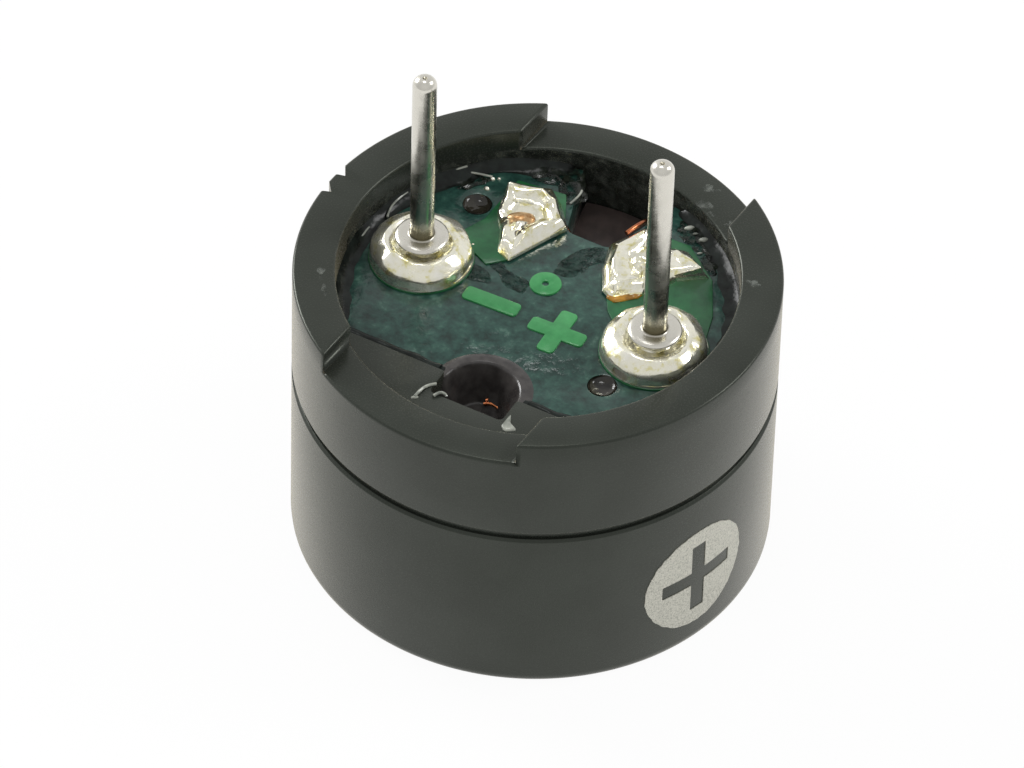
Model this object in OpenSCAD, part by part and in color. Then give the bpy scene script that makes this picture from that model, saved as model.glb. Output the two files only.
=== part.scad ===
// Magnetic sound transducer for printed circuit boards: a round two-part moulded body
// with a sound port in its front face, and two solder pins out of its open back.
//
// Frame: millimetres. The front face, with the sound port, lies on z = 0. +Z runs to the
// pin tips, and the pins stand on the X axis, the plus pin at +X.
//
// Stack from the front: case wall, chamber, diaphragm, air gap, pole core inside coil and
// ring magnet, yoke plate, circuit board, open rear pocket.

/* [Body] */
// Outside diameter of the case and the base
body_d = 12; // [11:0.1:14]
// Thickness of the front wall
front_t = 0.8; // [0.5:0.05:1.2]
// Height of the sound chamber between the front wall and the diaphragm's ledge
chamber_h = 1.9; // [1.2:0.05:2.5]
// Diameter of the sound port
port_d = 2.2; // [1.5:0.1:3.5]
// Thickness of the case wall around the base's spigot
case_wall = 0.6; // [0.45:0.05:0.7]
// Width of the ledge that carries the diaphragm's edge
ledge_w = 0.6; // [0.4:0.05:0.8]
// Length of the case wall above that ledge, up to the parting line
skirt_l = 2.35; // [2:0.05:2.6]
// Edge radius of the front face
front_r = 0.3; // [0.1:0.05:0.4]

/* [Base] */
// Thickness of the wall around the rear pocket
pocket_wall = 1.05; // [0.9:0.05:1.3]
// Thickness of the spigot wall around the magnet
spigot_wall = 1.05; // [0.8:0.05:1.3]
// Width of the spigot's end face on the diaphragm
seat_w = 0.45; // [0.3:0.05:0.6]
// Depth of the free space behind the diaphragm, in the spigot's end
relief_h = 0.45; // [0.3:0.05:0.6]
// Height of the groove at the parting line
groove_h = 0.25; // [0.15:0.05:0.4]
// Depth of the groove at the parting line
groove_t = 0.13; // [0.05:0.01:0.2]
// Height of the raised rim above the board
rim_rise = 1.12; // [0.9:0.02:1.6]
// Depth of the two vent gaps in the raised rim
gap_t = 0.6; // [0.3:0.05:0.7]
// Width of the vent gap on the coil lead side
gap_back_w = 6; // [4:0.1:7]
// Width of the vent gap on the board's straight side
gap_front_w = 5.5; // [4:0.1:7]
// Turn of the vent gaps against the row of pins, in degrees
gap_turn = -3.7; // [-15:0.1:15]
// Height of the keying land above the board
land_rise = 0.18; // [0:0.02:0.3]
// Chamfer of the rim's edges
rim_chamfer = 0.1; // [0.05:0.01:0.15]
// Depth of the two gate nicks in the rim
nick_t = 0.25; // [0.1:0.05:0.4]
// Width of each gate nick
nick_w = 0.7; // [0.4:0.05:0.8]
// Place of the first gate nick around the rim, in degrees
nick_at = 174.6; // [160:0.2:190]
// Step from one gate nick to the next, in degrees
nick_step = 6.6; // [6:0.2:12]

/* [Magnet system] */
// Thickness of the diaphragm
diaphragm_t = 0.08; // [0.05:0.01:0.1]
// Diameter of the iron disc that loads the diaphragm
armature_d = 4.4; // [3:0.1:6]
// Thickness of that disc
armature_t = 0.25; // [0.1:0.05:0.5]
// Air gap between the diaphragm and the pole core
air_gap = 0.3; // [0.2:0.05:0.5]
// Diameter of the pole core
core_d = 2.4; // [2:0.1:2.6]
// Length of the pole core in front of the yoke plate
core_l = 2.7; // [2.6:0.05:3]
// Thickness of the yoke plate
yoke_t = 0.6; // [0.4:0.05:1]
// Radial width of the ring magnet
magnet_w = 1.2; // [0.9:0.05:1.3]
// Height of the ring magnet
magnet_h = 2.4; // [1.8:0.05:2.5]
// Wall of the insulating sleeve on the core
sleeve_t = 0.1; // [0.05:0.01:0.12]
// Thickness of the insulating washer between the coil and the yoke plate
washer_t = 0.1; // [0.05:0.01:0.15]
// Height of the coil
coil_h = 2.3; // [1.8:0.05:2.4]
// Diameter of the coil wire, as its two leads
wire_d = 0.13; // [0.08:0.01:0.16]

/* [Board] */
// Thickness of the board
board_t = 0.8; // [0.6:0.05:1]
// Distance of the board's straight edge from the middle
flat_y = 3.2; // [3.1:0.05:3.4]
// Thickness of the copper under its solder mask
track_t = 0.05; // [0.03:0.01:0.08]
// Width of the notch in the straight edge
notch_w = 2; // [1.6:0.1:2.4]
// Middle of that notch along X
notch_x = 0.27; // [0:0.01:0.4]
// Distance of that notch's round end from the middle of the board
notch_y = 2.3; // [2.2:0.05:2.5]
// Length of that notch in the keying land
land_notch_l = 0.8; // [0.4:0.05:1]
// Width of the notch that lets the coil leads through, at its inner end
lead_w = 1.2; // [1:0.1:1.6]
// Width that this notch gains on each side on its way to the edge
lead_flare = 0.75; // [0.2:0.05:0.9]
// Middle of the lead notch along X
lead_x = 0; // [0:0.01:0.2]
// Distance of the lead notch's end from the middle of the board
lead_y = 2.6; // [2.6:0.05:2.9]
// Diameter of the two locating holes
locate_d = 0.72; // [0.5:0.02:0.76]
// Height of the bead of resin at the board's edge
bead_h = 0.33; // [0.2:0.01:0.5]
// Width of that bead
bead_w = 0.5; // [0.3:0.05:0.6]

/* [Pins] */
// Distance between the two pins
pin_pitch = 6.5; // [6.3:0.05:6.6]
// Diameter of the pins
pin_d = 0.6; // [0.5:0.05:0.7]
// Length of the minus pin above the board
pin_minus_l = 6.05; // [3:0.05:8]
// Length of the plus pin above the board
pin_plus_l = 6.35; // [3:0.05:8]
// Diameter of each pin's foot, under its collar
foot_d = 0.7; // [0.6:0.02:0.8]
// Diameter of the collar on each pin
collar_d = 1.35; // [1.1:0.05:1.6]
// Thickness of that collar
collar_t = 0.18; // [0.1:0.02:0.3]
// Height of the solder under the collar
solder_h = 0.6; // [0.4:0.05:0.7]
// Diameter of the solder around the minus pin
solder_minus_d = 2.4; // [2:0.05:2.5]
// Diameter of the solder around the plus pin
solder_plus_d = 2.5; // [2:0.05:2.55]

/* [Print] */
// Diameter of the printed disc on the case
print_d = 3.2; // [2:0.1:3.6]
// Length of the plus sign's arms left open in it, end to end
print_plus_l = 2.2; // [1.2:0.1:2.4]
// Width of those arms
print_plus_w = 0.44; // [0.3:0.02:0.6]
// Height of the disc's middle above the front face
print_z = 2.3; // [2.2:0.05:2.9]
// Direction of the disc's middle, in degrees from +X
print_at = -18.7; // [-60:0.1:30]
// Thickness of the ink
ink_t = 0.02; // [0.01:0.01:0.04]

/* [Hidden] */
$fn = 96;

slide_gap = 0.05; // clearance of a piece dropped into its seat
press_gap = 0.01; // clearance of a pressed or soldered pair
over = 1;         // how far a cutter runs past the face it opens

// Heights of the stack
ledge_z = front_t + chamber_h;
spigot_z = ledge_z + diaphragm_t;
tip_z = spigot_z + air_gap;
yoke_z = tip_z + core_l;
board_z = yoke_z + yoke_t;
top_z = board_z + board_t;
copper_z = top_z + track_t;
land_z = top_z + land_rise;
rim_z = top_z + rim_rise;
gap_z = rim_z - gap_t;
parting_z = ledge_z + skirt_l;
coil_top = yoke_z - washer_t;
coil_z = coil_top - coil_h;
collar_z = copper_z + solder_h;

// Radii of the stack
body_r = body_d / 2;
socket_r = body_r - case_wall;
chamber_r = socket_r - ledge_w;
spigot_r = socket_r - slide_gap;
relief_r = spigot_r - seat_w;
bore_r = spigot_r - spigot_wall;
pocket_r = body_r - pocket_wall;
board_r = pocket_r - slide_gap;
magnet_r = bore_r - slide_gap;
magnet_hole_r = magnet_r - magnet_w;
core_r = core_d / 2;
sleeve_r = core_r + press_gap + sleeve_t;
coil_gap = 0.3;
coil_r = magnet_hole_r - coil_gap;

pin_r = pin_d / 2;
pin_x = pin_pitch / 2;
foot_r = foot_d / 2;
solder_bore_r = foot_r + press_gap;
pin_hole_d = foot_d + 0.1; // drilled hole in the board
foot_gap = 0.15;           // how far each pin's foot stops short of the yoke plate
foot_taper = 0.08;         // how much the foot narrows towards its end
root_r = 0.05;             // cone that joins the collar to the pin
pin_tip = 0.12;            // radius at the pin tips
relief_hole_d = 1.3;       // hole in the yoke plate behind each pin

// The two bosses of the yoke plate that locate the board, one near each pin
locate_at = [[-2.97, 2.33], [2.72, -1.66]];
boss_h = 0.5;

// Notches in the yoke plate stand back from those in the board
notch_back = 0.25;
corner_r = 0.3;

// The copper is laid out on a board of this radius, and its places spread with the board's own
layout_r = 4.9;
spread = board_r / layout_r;
copper_r = board_r - 0.1; // copper and solder end here, short of the board's round edge

// Copper outlines, clockwise, from the coil joint to the pin
TRACK_MINUS = [[-2.5, 3.55], [-1.2, 3.7], [-0.65, 2.6], [-1.35, 0.95], [-1.75, 0.55], [-2.9, 1.1],
    [-2.55, 1.95]];
TRACK_PLUS = [[1.1, 3.6], [2.3, 3.65], [3.35, 2.85], [3.95, 1.75], [4.25, 0.7], [2.2, 0.1], [1.6, 0.65],
    [1.3, 1.15], [0.7, 2.75]];
pad_rim = 0.12; // how far a pin's copper pad reaches past its solder

// Low corners and the crown of each coil joint: x, y and radius of the solder there
JOINT_MINUS = [[-2.3, 3.15, 0.22], [-1.3, 3.45, 0.2], [-0.95, 2.6, 0.18], [-1.5, 1.35, 0.18],
    [-2.05, 2.1, 0.2]];
JOINT_PLUS = [[1.25, 3.25, 0.2], [2.1, 3.3, 0.2], [2.8, 2.95, 0.16], [1.9, 2.0, 0.2], [1.4, 1.5, 0.2],
    [0.85, 2.6, 0.18]];
joint_h = 0.42; // height of a coil joint above its copper

// Each coil lead: how far it swings out past the notch's end, its height there, and its end at the joint
lead_swing = 1.8;
lead_rise = 0.7;
lead_end_x = 0.98;
lead_end_y = 3.42;
lead_end_rise = 0.33;

// A flat disc with the board's straight edge
module d_plate(r, edge, t) {
    intersection() {
        cylinder(r = r, h = t);
        translate([-r - over, -edge, -over]) cube([2 * (r + over), edge + r + over, t + 2 * over]);
    }
}

// Cutter for the notch in the straight edge: round at its inner end, open outward to y = -reach
module edge_notch(w, y, reach, z0, z1) {
    translate([notch_x, 0, z0]) {
        translate([0, -y - w / 2, 0]) cylinder(d = w, h = z1 - z0);
        translate([-w / 2, -reach, 0]) cube([w, reach - y - w / 2, z1 - z0]);
    }
}

// Cutter for the lead notch, open outward past the edge, where it is wider
module lead_notch(w, y, z0, z1) {
    lean = lead_flare / (board_r - lead_y);
    translate([lead_x, y, z0]) {
        for (side = [-1, 1])
            translate([side * (w / 2 - corner_r), corner_r, 0]) cylinder(r = corner_r, h = z1 - z0);
        translate([corner_r - w / 2, 0, 0]) cube([w - 2 * corner_r, body_r, z1 - z0]);
        linear_extrude(z1 - z0) polygon([
            [w / 2, corner_r], [w / 2 + lean * body_r, corner_r + body_r],
            [-w / 2 - lean * body_r, corner_r + body_r], [-w / 2, corner_r]]);
    }
}

// A vertical hole or post from z0 to z1 at each place in a list
module posts(places, d, z0, z1) {
    for (p = places) translate([p[0], p[1], z0]) cylinder(d = d, h = z1 - z0);
}

pins_at = [[-pin_x, 0], [pin_x, 0]];

// Front shell: a cup with the sound port, a ledge for the diaphragm and a socket for the base
module case() {
    arc = [for (a = [0:15:90]) [body_r - front_r + front_r * sin(a), front_r - front_r * cos(a)]];
    color([0.13, 0.14, 0.13]) rotate_extrude()
        polygon(concat(
            [[port_d / 2, 0]], arc,
            [[body_r, parting_z - groove_t / 2], [body_r - groove_t / 2, parting_z], [socket_r, parting_z],
             [socket_r, ledge_z], [chamber_r, ledge_z], [chamber_r, front_t], [port_d / 2, front_t]]));
}

// Outline of the base's section: spigot below, groove, and the pocket wall above
function base_section() = [
    [relief_r, spigot_z], [spigot_r, spigot_z], [spigot_r, parting_z],
    [body_r - groove_t, parting_z], [body_r - groove_t, parting_z + groove_h - groove_t / 2],
    [body_r, parting_z + groove_h], [body_r, rim_z - rim_chamfer], [body_r - rim_chamfer, rim_z],
    [pocket_r + rim_chamfer, rim_z], [pocket_r, rim_z - rim_chamfer], [pocket_r, yoke_z], [bore_r, yoke_z],
    [bore_r, spigot_z + relief_h], [relief_r, spigot_z + relief_h]
];

// Rear body: spigot, yoke seat, keyed pocket and a rim with two vent gaps
module base() {
    land_reach = flat_y + slide_gap * 2 + land_notch_l;
    color([0.15, 0.16, 0.15]) {
        difference() {
            rotate_extrude() polygon(base_section());
            rotate([0, 0, gap_turn]) {
                translate([-gap_back_w / 2, 0, gap_z]) cube([gap_back_w, body_r + over, gap_t + over]);
                translate([-gap_front_w / 2, -body_r - over, gap_z])
                    cube([gap_front_w, body_r + over, gap_t + over]);
            }
            for (i = [0, 1]) rotate([0, 0, nick_at + i * nick_step]) translate([body_r, 0, gap_z])
                linear_extrude(gap_t + over)
                    polygon([[-nick_t, 0], [nick_t, -nick_w], [nick_t, nick_w / 4]]);
        }
        difference() {
            translate([0, 0, yoke_z]) cylinder(r = pocket_r, h = land_z - yoke_z);
            translate([-body_r, -flat_y - 2 * slide_gap, yoke_z - over])
                cube([2 * body_r, 2 * body_r, land_z - yoke_z + 2 * over]);
            edge_notch(notch_w, notch_y, land_reach, yoke_z - over, land_z + over);
        }
    }
}

// Thin sprung disc that makes the sound
module diaphragm() {
    color([0.72, 0.72, 0.7]) translate([0, 0, ledge_z]) cylinder(r = socket_r - slide_gap, h = diaphragm_t);
}

// Iron disc welded to the front of the diaphragm
module armature_disc() {
    color([0.5, 0.5, 0.52]) translate([0, 0, ledge_z - armature_t]) cylinder(d = armature_d, h = armature_t);
}

// Ring magnet around the coil, against the yoke plate
module ring_magnet() {
    color([0.22, 0.22, 0.23]) translate([0, 0, yoke_z - magnet_h]) difference() {
        cylinder(r = magnet_r, h = magnet_h);
        translate([0, 0, -over]) cylinder(r = magnet_hole_r, h = magnet_h + 2 * over);
    }
}

// Iron pole pressed into the yoke plate
module pole_core() {
    color([0.55, 0.55, 0.56]) translate([0, 0, tip_z]) cylinder(d = core_d, h = board_z - tip_z);
}

// Insulating sleeve between the core and the winding
module core_sleeve() {
    color([0.75, 0.6, 0.3]) translate([0, 0, coil_z]) difference() {
        cylinder(r = sleeve_r, h = coil_h);
        translate([0, 0, -over]) cylinder(r = core_r + press_gap, h = coil_h + 2 * over);
    }
}

// Winding of enamelled copper wire
module coil() {
    color([0.6, 0.32, 0.16]) translate([0, 0, coil_z]) difference() {
        cylinder(r = coil_r, h = coil_h);
        translate([0, 0, -over]) cylinder(r = sleeve_r + press_gap, h = coil_h + 2 * over);
    }
}

// Insulating washer between the winding and the yoke plate, open where the leads come out
module insulating_washer() {
    lead_gap_w = 0.65;
    color([0.1, 0.1, 0.1]) difference() {
        translate([0, 0, coil_top]) cylinder(r = coil_r, h = washer_t);
        translate([0, 0, coil_top - over]) cylinder(r = core_r + press_gap, h = washer_t + 2 * over);
        translate([notch_x - lead_gap_w / 2, -body_r, coil_top - over])
            cube([lead_gap_w, body_r - sleeve_r - lead_gap_w, washer_t + 2 * over]);
        translate([lead_x - lead_w / 2, sleeve_r + lead_gap_w, coil_top - over])
            cube([lead_w, body_r, washer_t + 2 * over]);
    }
}

// Iron plate that closes the magnetic circuit, with two bosses that locate the board
module yoke_plate() {
    color([0.6, 0.6, 0.6]) {
        difference() {
            translate([0, 0, yoke_z]) d_plate(board_r, flat_y, yoke_t);
            translate([0, 0, yoke_z - over]) cylinder(r = core_r + press_gap, h = yoke_t + 2 * over);
            posts(pins_at, relief_hole_d, yoke_z - over, board_z + over);
            edge_notch(notch_w, notch_y - notch_back, body_r, yoke_z - over, board_z + over);
            lead_notch(lead_w, lead_y - notch_back, yoke_z - over, board_z + over);
        }
        posts(locate_at, locate_d - 2 * slide_gap, board_z, board_z + boss_h);
    }
}

// Laminate with a straight edge, two notches, two pin holes and two locating holes
module circuit_board() {
    color([0.07, 0.25, 0.2]) difference() {
        translate([0, 0, board_z]) d_plate(board_r, flat_y, board_t);
        posts(pins_at, pin_hole_d, board_z - over, top_z + over);
        posts(locate_at, locate_d, board_z - over, top_z + over);
        edge_notch(notch_w, notch_y, body_r, board_z - over, top_z + over);
        lead_notch(lead_w, lead_y, board_z - over, top_z + over);
    }
}

// Copper from a coil joint to its pin, with a round pad at the pin
module track(outline, x, solder_d) {
    color([0.2, 0.5, 0.3]) translate([0, 0, top_z]) difference() {
        intersection() {
            union() {
                linear_extrude(track_t) polygon(outline * spread);
                translate([x, 0, 0]) cylinder(d = solder_d + 2 * pad_rim, h = track_t);
            }
            translate([0, 0, -over]) cylinder(r = copper_r, h = track_t + 2 * over);
        }
        translate([x, 0, -over]) cylinder(d = pin_hole_d, h = track_t + 2 * over);
        posts(locate_at, locate_d, -over, track_t + over);
    }
}

module track_minus() {
    track(TRACK_MINUS, -pin_x, solder_minus_d);
}

module track_plus() {
    track(TRACK_PLUS, pin_x, solder_plus_d);
}

// Bar of a polarity mark in copper, with round corners
module mark_bar(l, w, r) {
    linear_extrude(track_t) union() {
        square([l - 2 * r, w], center = true);
        square([l, w - 2 * r], center = true);
        for (sx = [-1, 1], sy = [-1, 1]) translate([sx * (l / 2 - r), sy * (w / 2 - r)]) circle(r = r);
    }
}

mark_l = 1.5;
mark_w = 0.46;
mark_r = 0.12;
test_pad_d = 0.8;

module board_mark_minus() {
    color([0.25, 0.58, 0.38]) translate([-spread, -0.5 * spread, top_z]) rotate([0, 0, 2])
        mark_bar(mark_l, mark_w, mark_r);
}

module board_mark_plus() {
    color([0.25, 0.58, 0.38]) translate([0.9 * spread, -0.62 * spread, top_z]) rotate([0, 0, 2])
        for (a = [0, 90]) rotate([0, 0, a]) mark_bar(mark_l, mark_w, mark_r);
}

// Plain round test pad with a small hole
module test_pad() {
    color([0.25, 0.58, 0.38]) translate([-0.15 * spread, 0.7 * spread, top_z]) difference() {
        cylinder(d = test_pad_d, h = track_t);
        translate([0, 0, -over]) cylinder(d = test_pad_d / 5, h = track_t + 2 * over);
    }
}

// Tinned pin with a collar, from inside the board to its tip
module pin(x, l) {
    foot_z = board_z + foot_gap;
    tip = top_z + l;
    color([0.75, 0.75, 0.73]) translate([x, 0, 0]) rotate_extrude() polygon([
        [0, foot_z], [foot_r - foot_taper, foot_z], [foot_r, collar_z], [collar_d / 2, collar_z],
        [collar_d / 2, collar_z + collar_t / 2], [collar_d / 2 - collar_t / 2, collar_z + collar_t],
        [pin_r + root_r, collar_z + collar_t], [pin_r, collar_z + collar_t + root_r],
        [pin_r, tip - pin_tip], [pin_r - pin_tip / 3, tip - pin_tip / 3], [pin_r - pin_tip, tip], [0, tip]]);
}

module pin_minus() {
    pin(-pin_x, pin_minus_l);
}

module pin_plus() {
    pin(pin_x, pin_plus_l);
}

// Mound of solder on the copper under a pin's collar
module pin_solder(x, d) {
    toe = d / 2 - collar_d / 2;
    dome = [for (a = [0:10:90]) [collar_d / 2 + toe * cos(a), solder_h * sin(a)]];
    color([0.85, 0.85, 0.8]) translate([0, 0, copper_z]) intersection() {
        translate([x, 0, 0]) rotate_extrude()
            polygon(concat([[solder_bore_r, 0]], dome, [[solder_bore_r, solder_h]]));
        translate([0, 0, -over]) cylinder(r = copper_r, h = solder_h + 2 * over);
    }
}

module solder_minus() {
    pin_solder(-pin_x, solder_minus_d);
}

module solder_plus() {
    pin_solder(pin_x, solder_plus_d);
}

// Peaked lump of solder over the end of a coil lead
module coil_joint(corners, crown) {
    color([0.88, 0.88, 0.85]) translate([0, 0, copper_z]) hull() {
        for (c = corners) translate([c[0] * spread, c[1] * spread, 0])
            cylinder(r1 = c[2], r2 = c[2] / 3, h = joint_h / 3, $fn = 24);
        translate([crown[0] * spread, crown[1] * spread, 0]) cylinder(r = crown[2], h = joint_h, $fn = 24);
    }
}

module coil_joint_minus() {
    coil_joint(JOINT_MINUS, [-1.7, 2.65, 0.35]);
}

module coil_joint_plus() {
    coil_joint(JOINT_PLUS, [1.6, 2.6, 0.3]);
}

// A point at t from 0 to 1 on the curve that four points shape
function bezier(p, t) =
    pow(1 - t, 3) * p[0] + 3 * pow(1 - t, 2) * t * p[1] + 3 * (1 - t) * t * t * p[2] + pow(t, 3) * p[3];
function slope(p, t) =
    3 * pow(1 - t, 2) * (p[1] - p[0]) + 6 * (1 - t) * t * (p[2] - p[1]) + 3 * t * t * (p[3] - p[2]);
function unit(v) = v / norm(v);

// Round wire along such a curve
module wire(p, d) {
    rings = 18;
    sides = 10;
    across = unit(cross(p[1] - p[0], p[3] - p[0]));
    points = [for (i = [0:rings]) let (c = bezier(p, i / rings), u = cross(across, unit(slope(p, i / rings))))
        for (k = [0:sides - 1]) let (a = 360 * k / sides) c + d / 2 * (cos(a) * across + sin(a) * u)];
    walls = [for (i = [0:rings - 1], k = [0:sides - 1]) let (m = (k + 1) % sides)
        [i * sides + k, i * sides + m, (i + 1) * sides + m, (i + 1) * sides + k]];
    first = [[for (k = [sides - 1:-1:0]) k]];
    last = [[for (k = [0:sides - 1]) rings * sides + k]];
    polyhedron(points, concat(walls, first, last));
}

// Lead of the coil, from the yoke plate's notch up through the board's and over its edge to a joint
module lead_wire(side) {
    x = lead_x + side * (lead_w / 2 - corner_r);
    out_y = lead_y * spread + lead_swing;
    color([0.7, 0.38, 0.2]) wire([
        [x, lead_y - notch_back + wire_d, yoke_z + wire_d],
        [x, out_y, board_z],
        [x + side * wire_d, out_y, top_z + lead_rise],
        [side * lead_end_x * spread, lead_end_y * spread, top_z + lead_end_rise]], wire_d);
}

module lead_wire_minus() {
    lead_wire(-1);
}

module lead_wire_plus() {
    lead_wire(1);
}

// Bead of clear resin that seals the board's round edge to the pocket wall, either side of the
// leads, and stops at the pins' copper pads
module edge_resin() {
    outer = pocket_r - press_gap;
    lead_half = asin((lead_w / 2 + lead_flare) / pocket_r) + 2;
    flat_half = acos((flat_y + 2 * slide_gap) / pocket_r) + 6;
    hollow = [for (a = [0:15:90]) [outer - bead_w + bead_w * sin(a), bead_h * (1 - cos(a))]];
    color([0.16, 0.17, 0.13]) translate([0, 0, top_z]) difference() {
        for (side = [-1, 1])
            rotate([0, 0, side > 0 ? flat_half - 90 : 90 + lead_half])
                rotate_extrude(angle = 180 - flat_half - lead_half) polygon(concat([[outer, 0]], hollow));
        for (pad = [[-pin_x, solder_minus_d], [pin_x, solder_plus_d]]) translate([pad[0], 0, -over])
            cylinder(r = pad[1] / 2 + pad_rim + press_gap, h = bead_h + 2 * over);
    }
}

// Ink disc on the case wall with an open plus sign
module polarity_print() {
    color([0.72, 0.73, 0.72]) intersection() {
        difference() {
            cylinder(r = body_r + ink_t, h = parting_z);
            translate([0, 0, -over]) cylinder(r = body_r, h = parting_z + 2 * over);
        }
        rotate([0, 0, print_at]) translate([0, 0, print_z]) rotate([90, 0, 90])
            linear_extrude(body_r + over) difference() {
                circle(d = print_d);
                for (a = [0, 90]) rotate(a) square([print_plus_l, print_plus_w], center = true);
            }
    }
}

case();
base();
diaphragm();
armature_disc();
ring_magnet();
pole_core();
core_sleeve();
coil();
insulating_washer();
yoke_plate();
circuit_board();
track_minus();
track_plus();
board_mark_minus();
board_mark_plus();
test_pad();
pin_minus();
pin_plus();
solder_minus();
solder_plus();
coil_joint_minus();
coil_joint_plus();
lead_wire_minus();
lead_wire_plus();
edge_resin();
polarity_print();
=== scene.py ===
"""Looks of a small round magnetic sound transducer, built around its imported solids.

The black two-part body lies on its front face with its two pins up. Lengths are millimetres in the
part's own frame, and each finished mesh is turned to metres as it is made.
"""
import logging
import math
from collections.abc import Callable, Iterable
from dataclasses import dataclass, field
from enum import Enum
from typing import Any

import bmesh
import bpy
from mathutils import Matrix, Vector
from mathutils import noise as mnoise


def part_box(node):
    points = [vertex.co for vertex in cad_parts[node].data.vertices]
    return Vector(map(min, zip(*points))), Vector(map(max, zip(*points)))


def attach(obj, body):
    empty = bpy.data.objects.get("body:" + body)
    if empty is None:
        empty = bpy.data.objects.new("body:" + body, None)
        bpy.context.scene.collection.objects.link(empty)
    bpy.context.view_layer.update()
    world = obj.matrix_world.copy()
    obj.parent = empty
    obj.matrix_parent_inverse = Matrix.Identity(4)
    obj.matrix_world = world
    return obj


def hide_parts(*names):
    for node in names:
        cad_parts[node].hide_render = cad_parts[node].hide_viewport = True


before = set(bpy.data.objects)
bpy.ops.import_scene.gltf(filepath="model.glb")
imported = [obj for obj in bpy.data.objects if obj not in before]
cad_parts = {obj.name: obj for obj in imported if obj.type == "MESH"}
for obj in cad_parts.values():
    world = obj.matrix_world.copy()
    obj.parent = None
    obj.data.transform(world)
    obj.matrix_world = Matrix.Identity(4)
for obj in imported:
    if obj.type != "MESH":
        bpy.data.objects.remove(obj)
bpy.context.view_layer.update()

log = logging.getLogger("transducer")

MM = 0.001
BODY = "root"
SMOOTH_ANGLE = math.radians(40)
NOISE_SEED = 11
NEAR = 0.01  # two heights or radii closer than this, in millimetres, count as one
WELD = 1e-5  # points closer than this are joined in a turned shape
WELD_SOLID = 1e-4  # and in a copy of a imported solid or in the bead
FLAT_ANGLE = math.radians(0.5)  # faces that turn by less lie in one plane
UPWARD = 0.9  # a face whose normal's height is above this looks up


class Slot(Enum):
    """The record's material slots that the pieces made here take their finish from."""

    PLASTIC = "black_plastic"
    WIRE = "copper_wire"
    BOARD = "board"
    COPPER = "masked_copper"
    PIN = "tinned_pin"
    SOLDER = "solder"
    RESIN = "resin"
    INK = "print_ink"


class Pole(Enum):
    """The two sides of the circuit, as the nodes' names say them."""

    MINUS = "minus"
    PLUS = "plus"


class Cut(Enum):
    """How a tool shape changes another."""

    AWAY = "DIFFERENCE"
    JOIN = "UNION"


# ---------------------------------------------------------------------------------------------
# Small helpers for colours, nodes and meshes


def linear(code: str) -> tuple[float, float, float, float]:
    """Turns an sRGB hex colour to linear light.

    Args:
        code: six hex digits.

    Returns:
        Red, green, blue and an alpha of 1.
    """
    parts = [int(code[i:i + 2], 16) / 255 for i in (0, 2, 4)]
    lin = [c / 12.92 if c <= 0.04045 else ((c + 0.055) / 1.055) ** 2.4 for c in parts]
    return (lin[0], lin[1], lin[2], 1.0)


def add(tree: bpy.types.NodeTree, kind: str, inputs: dict[Any, Any] | None = None,
        **settings: Any) -> bpy.types.Node:
    """Adds a shader node with its settings, values and links.

    Args:
        tree: the node tree.
        kind: the node type's name without its ShaderNode prefix.
        inputs: socket name or number to a value, or to the output socket that feeds it.
        settings: the node's own properties.

    Returns:
        The new node.
    """
    node = tree.nodes.new("ShaderNode" + kind)
    for key, value in settings.items():
        setattr(node, key, value)
    for key, value in (inputs or {}).items():
        socket = node.inputs[key]
        if isinstance(value, bpy.types.NodeSocket):
            tree.links.new(value, socket)
        else:
            socket.default_value = value
    return node


def ramp(tree: bpy.types.NodeTree, factor: bpy.types.NodeSocket,
         stops: Iterable[tuple[float, Any]]) -> bpy.types.NodeSocket:
    """Adds a colour ramp.

    Args:
        tree: the node tree.
        factor: the socket that drives it.
        stops: place and grey level, or place and linear colour.

    Returns:
        The ramp's colour socket.
    """
    node = add(tree, "ValToRGB", {"Fac": factor})
    marks = node.color_ramp.elements
    for i, (place, value) in enumerate(stops):
        mark = marks[i] if i < 2 else marks.new(place)
        mark.position = place
        mark.color = value if isinstance(value, tuple) else (value, value, value, 1)
    return node.outputs["Color"]


def arc(centre: tuple[float, float], radius: float, start: float, end: float,
        steps: int) -> list[tuple[float, float]]:
    """Points along an arc, both ends included.

    Args:
        centre: middle of the arc.
        radius: its radius.
        start: first angle in degrees.
        end: last angle in degrees.
        steps: number of chords.

    Returns:
        The points as pairs.
    """
    x, y = centre
    angles = [math.radians(start + (end - start) * i / steps) for i in range(steps + 1)]
    return [(x + radius * math.cos(a), y + radius * math.sin(a)) for a in angles]


def circle(centre: tuple[float, float], radius: float, steps: int) -> list[tuple[float, float]]:
    """Points round a full circle, each of them once."""
    return arc(centre, radius, 0, 360, steps)[:-1]


def clamped(value: float) -> float:
    """Holds a share between 0 and 1."""
    return min(max(value, 0.0), 1.0)


def rounded(corners: list[tuple[float, float, float]], steps: int = 5) -> list[tuple[float, float]]:
    """Rounds the corners of a closed outline.

    Args:
        corners: x, y and fillet radius of each corner, where 0 keeps it sharp.
        steps: chords in each fillet.

    Returns:
        The outline's points.
    """
    straight = math.pi - 0.02  # a corner wider than this stays as it is
    room = 0.49  # largest share of a side that a fillet takes
    points: list[tuple[float, float]] = []
    count = len(corners)
    for i, (x, y, radius) in enumerate(corners):
        here = Vector((x, y))
        before = Vector(corners[i - 1][:2]) - here
        after = Vector(corners[(i + 1) % count][:2]) - here
        turn = before.angle(after)
        if radius <= 0 or turn > straight:
            points.append((x, y))
            continue
        reach = min(radius / math.tan(turn / 2), before.length * room, after.length * room)
        first, last = here + before.normalized() * reach, here + after.normalized() * reach
        for k in range(steps + 1):
            t = k / steps
            point = first * (1 - t) ** 2 + here * 2 * t * (1 - t) + last * t ** 2
            points.append((point.x, point.y))
    return points


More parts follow.
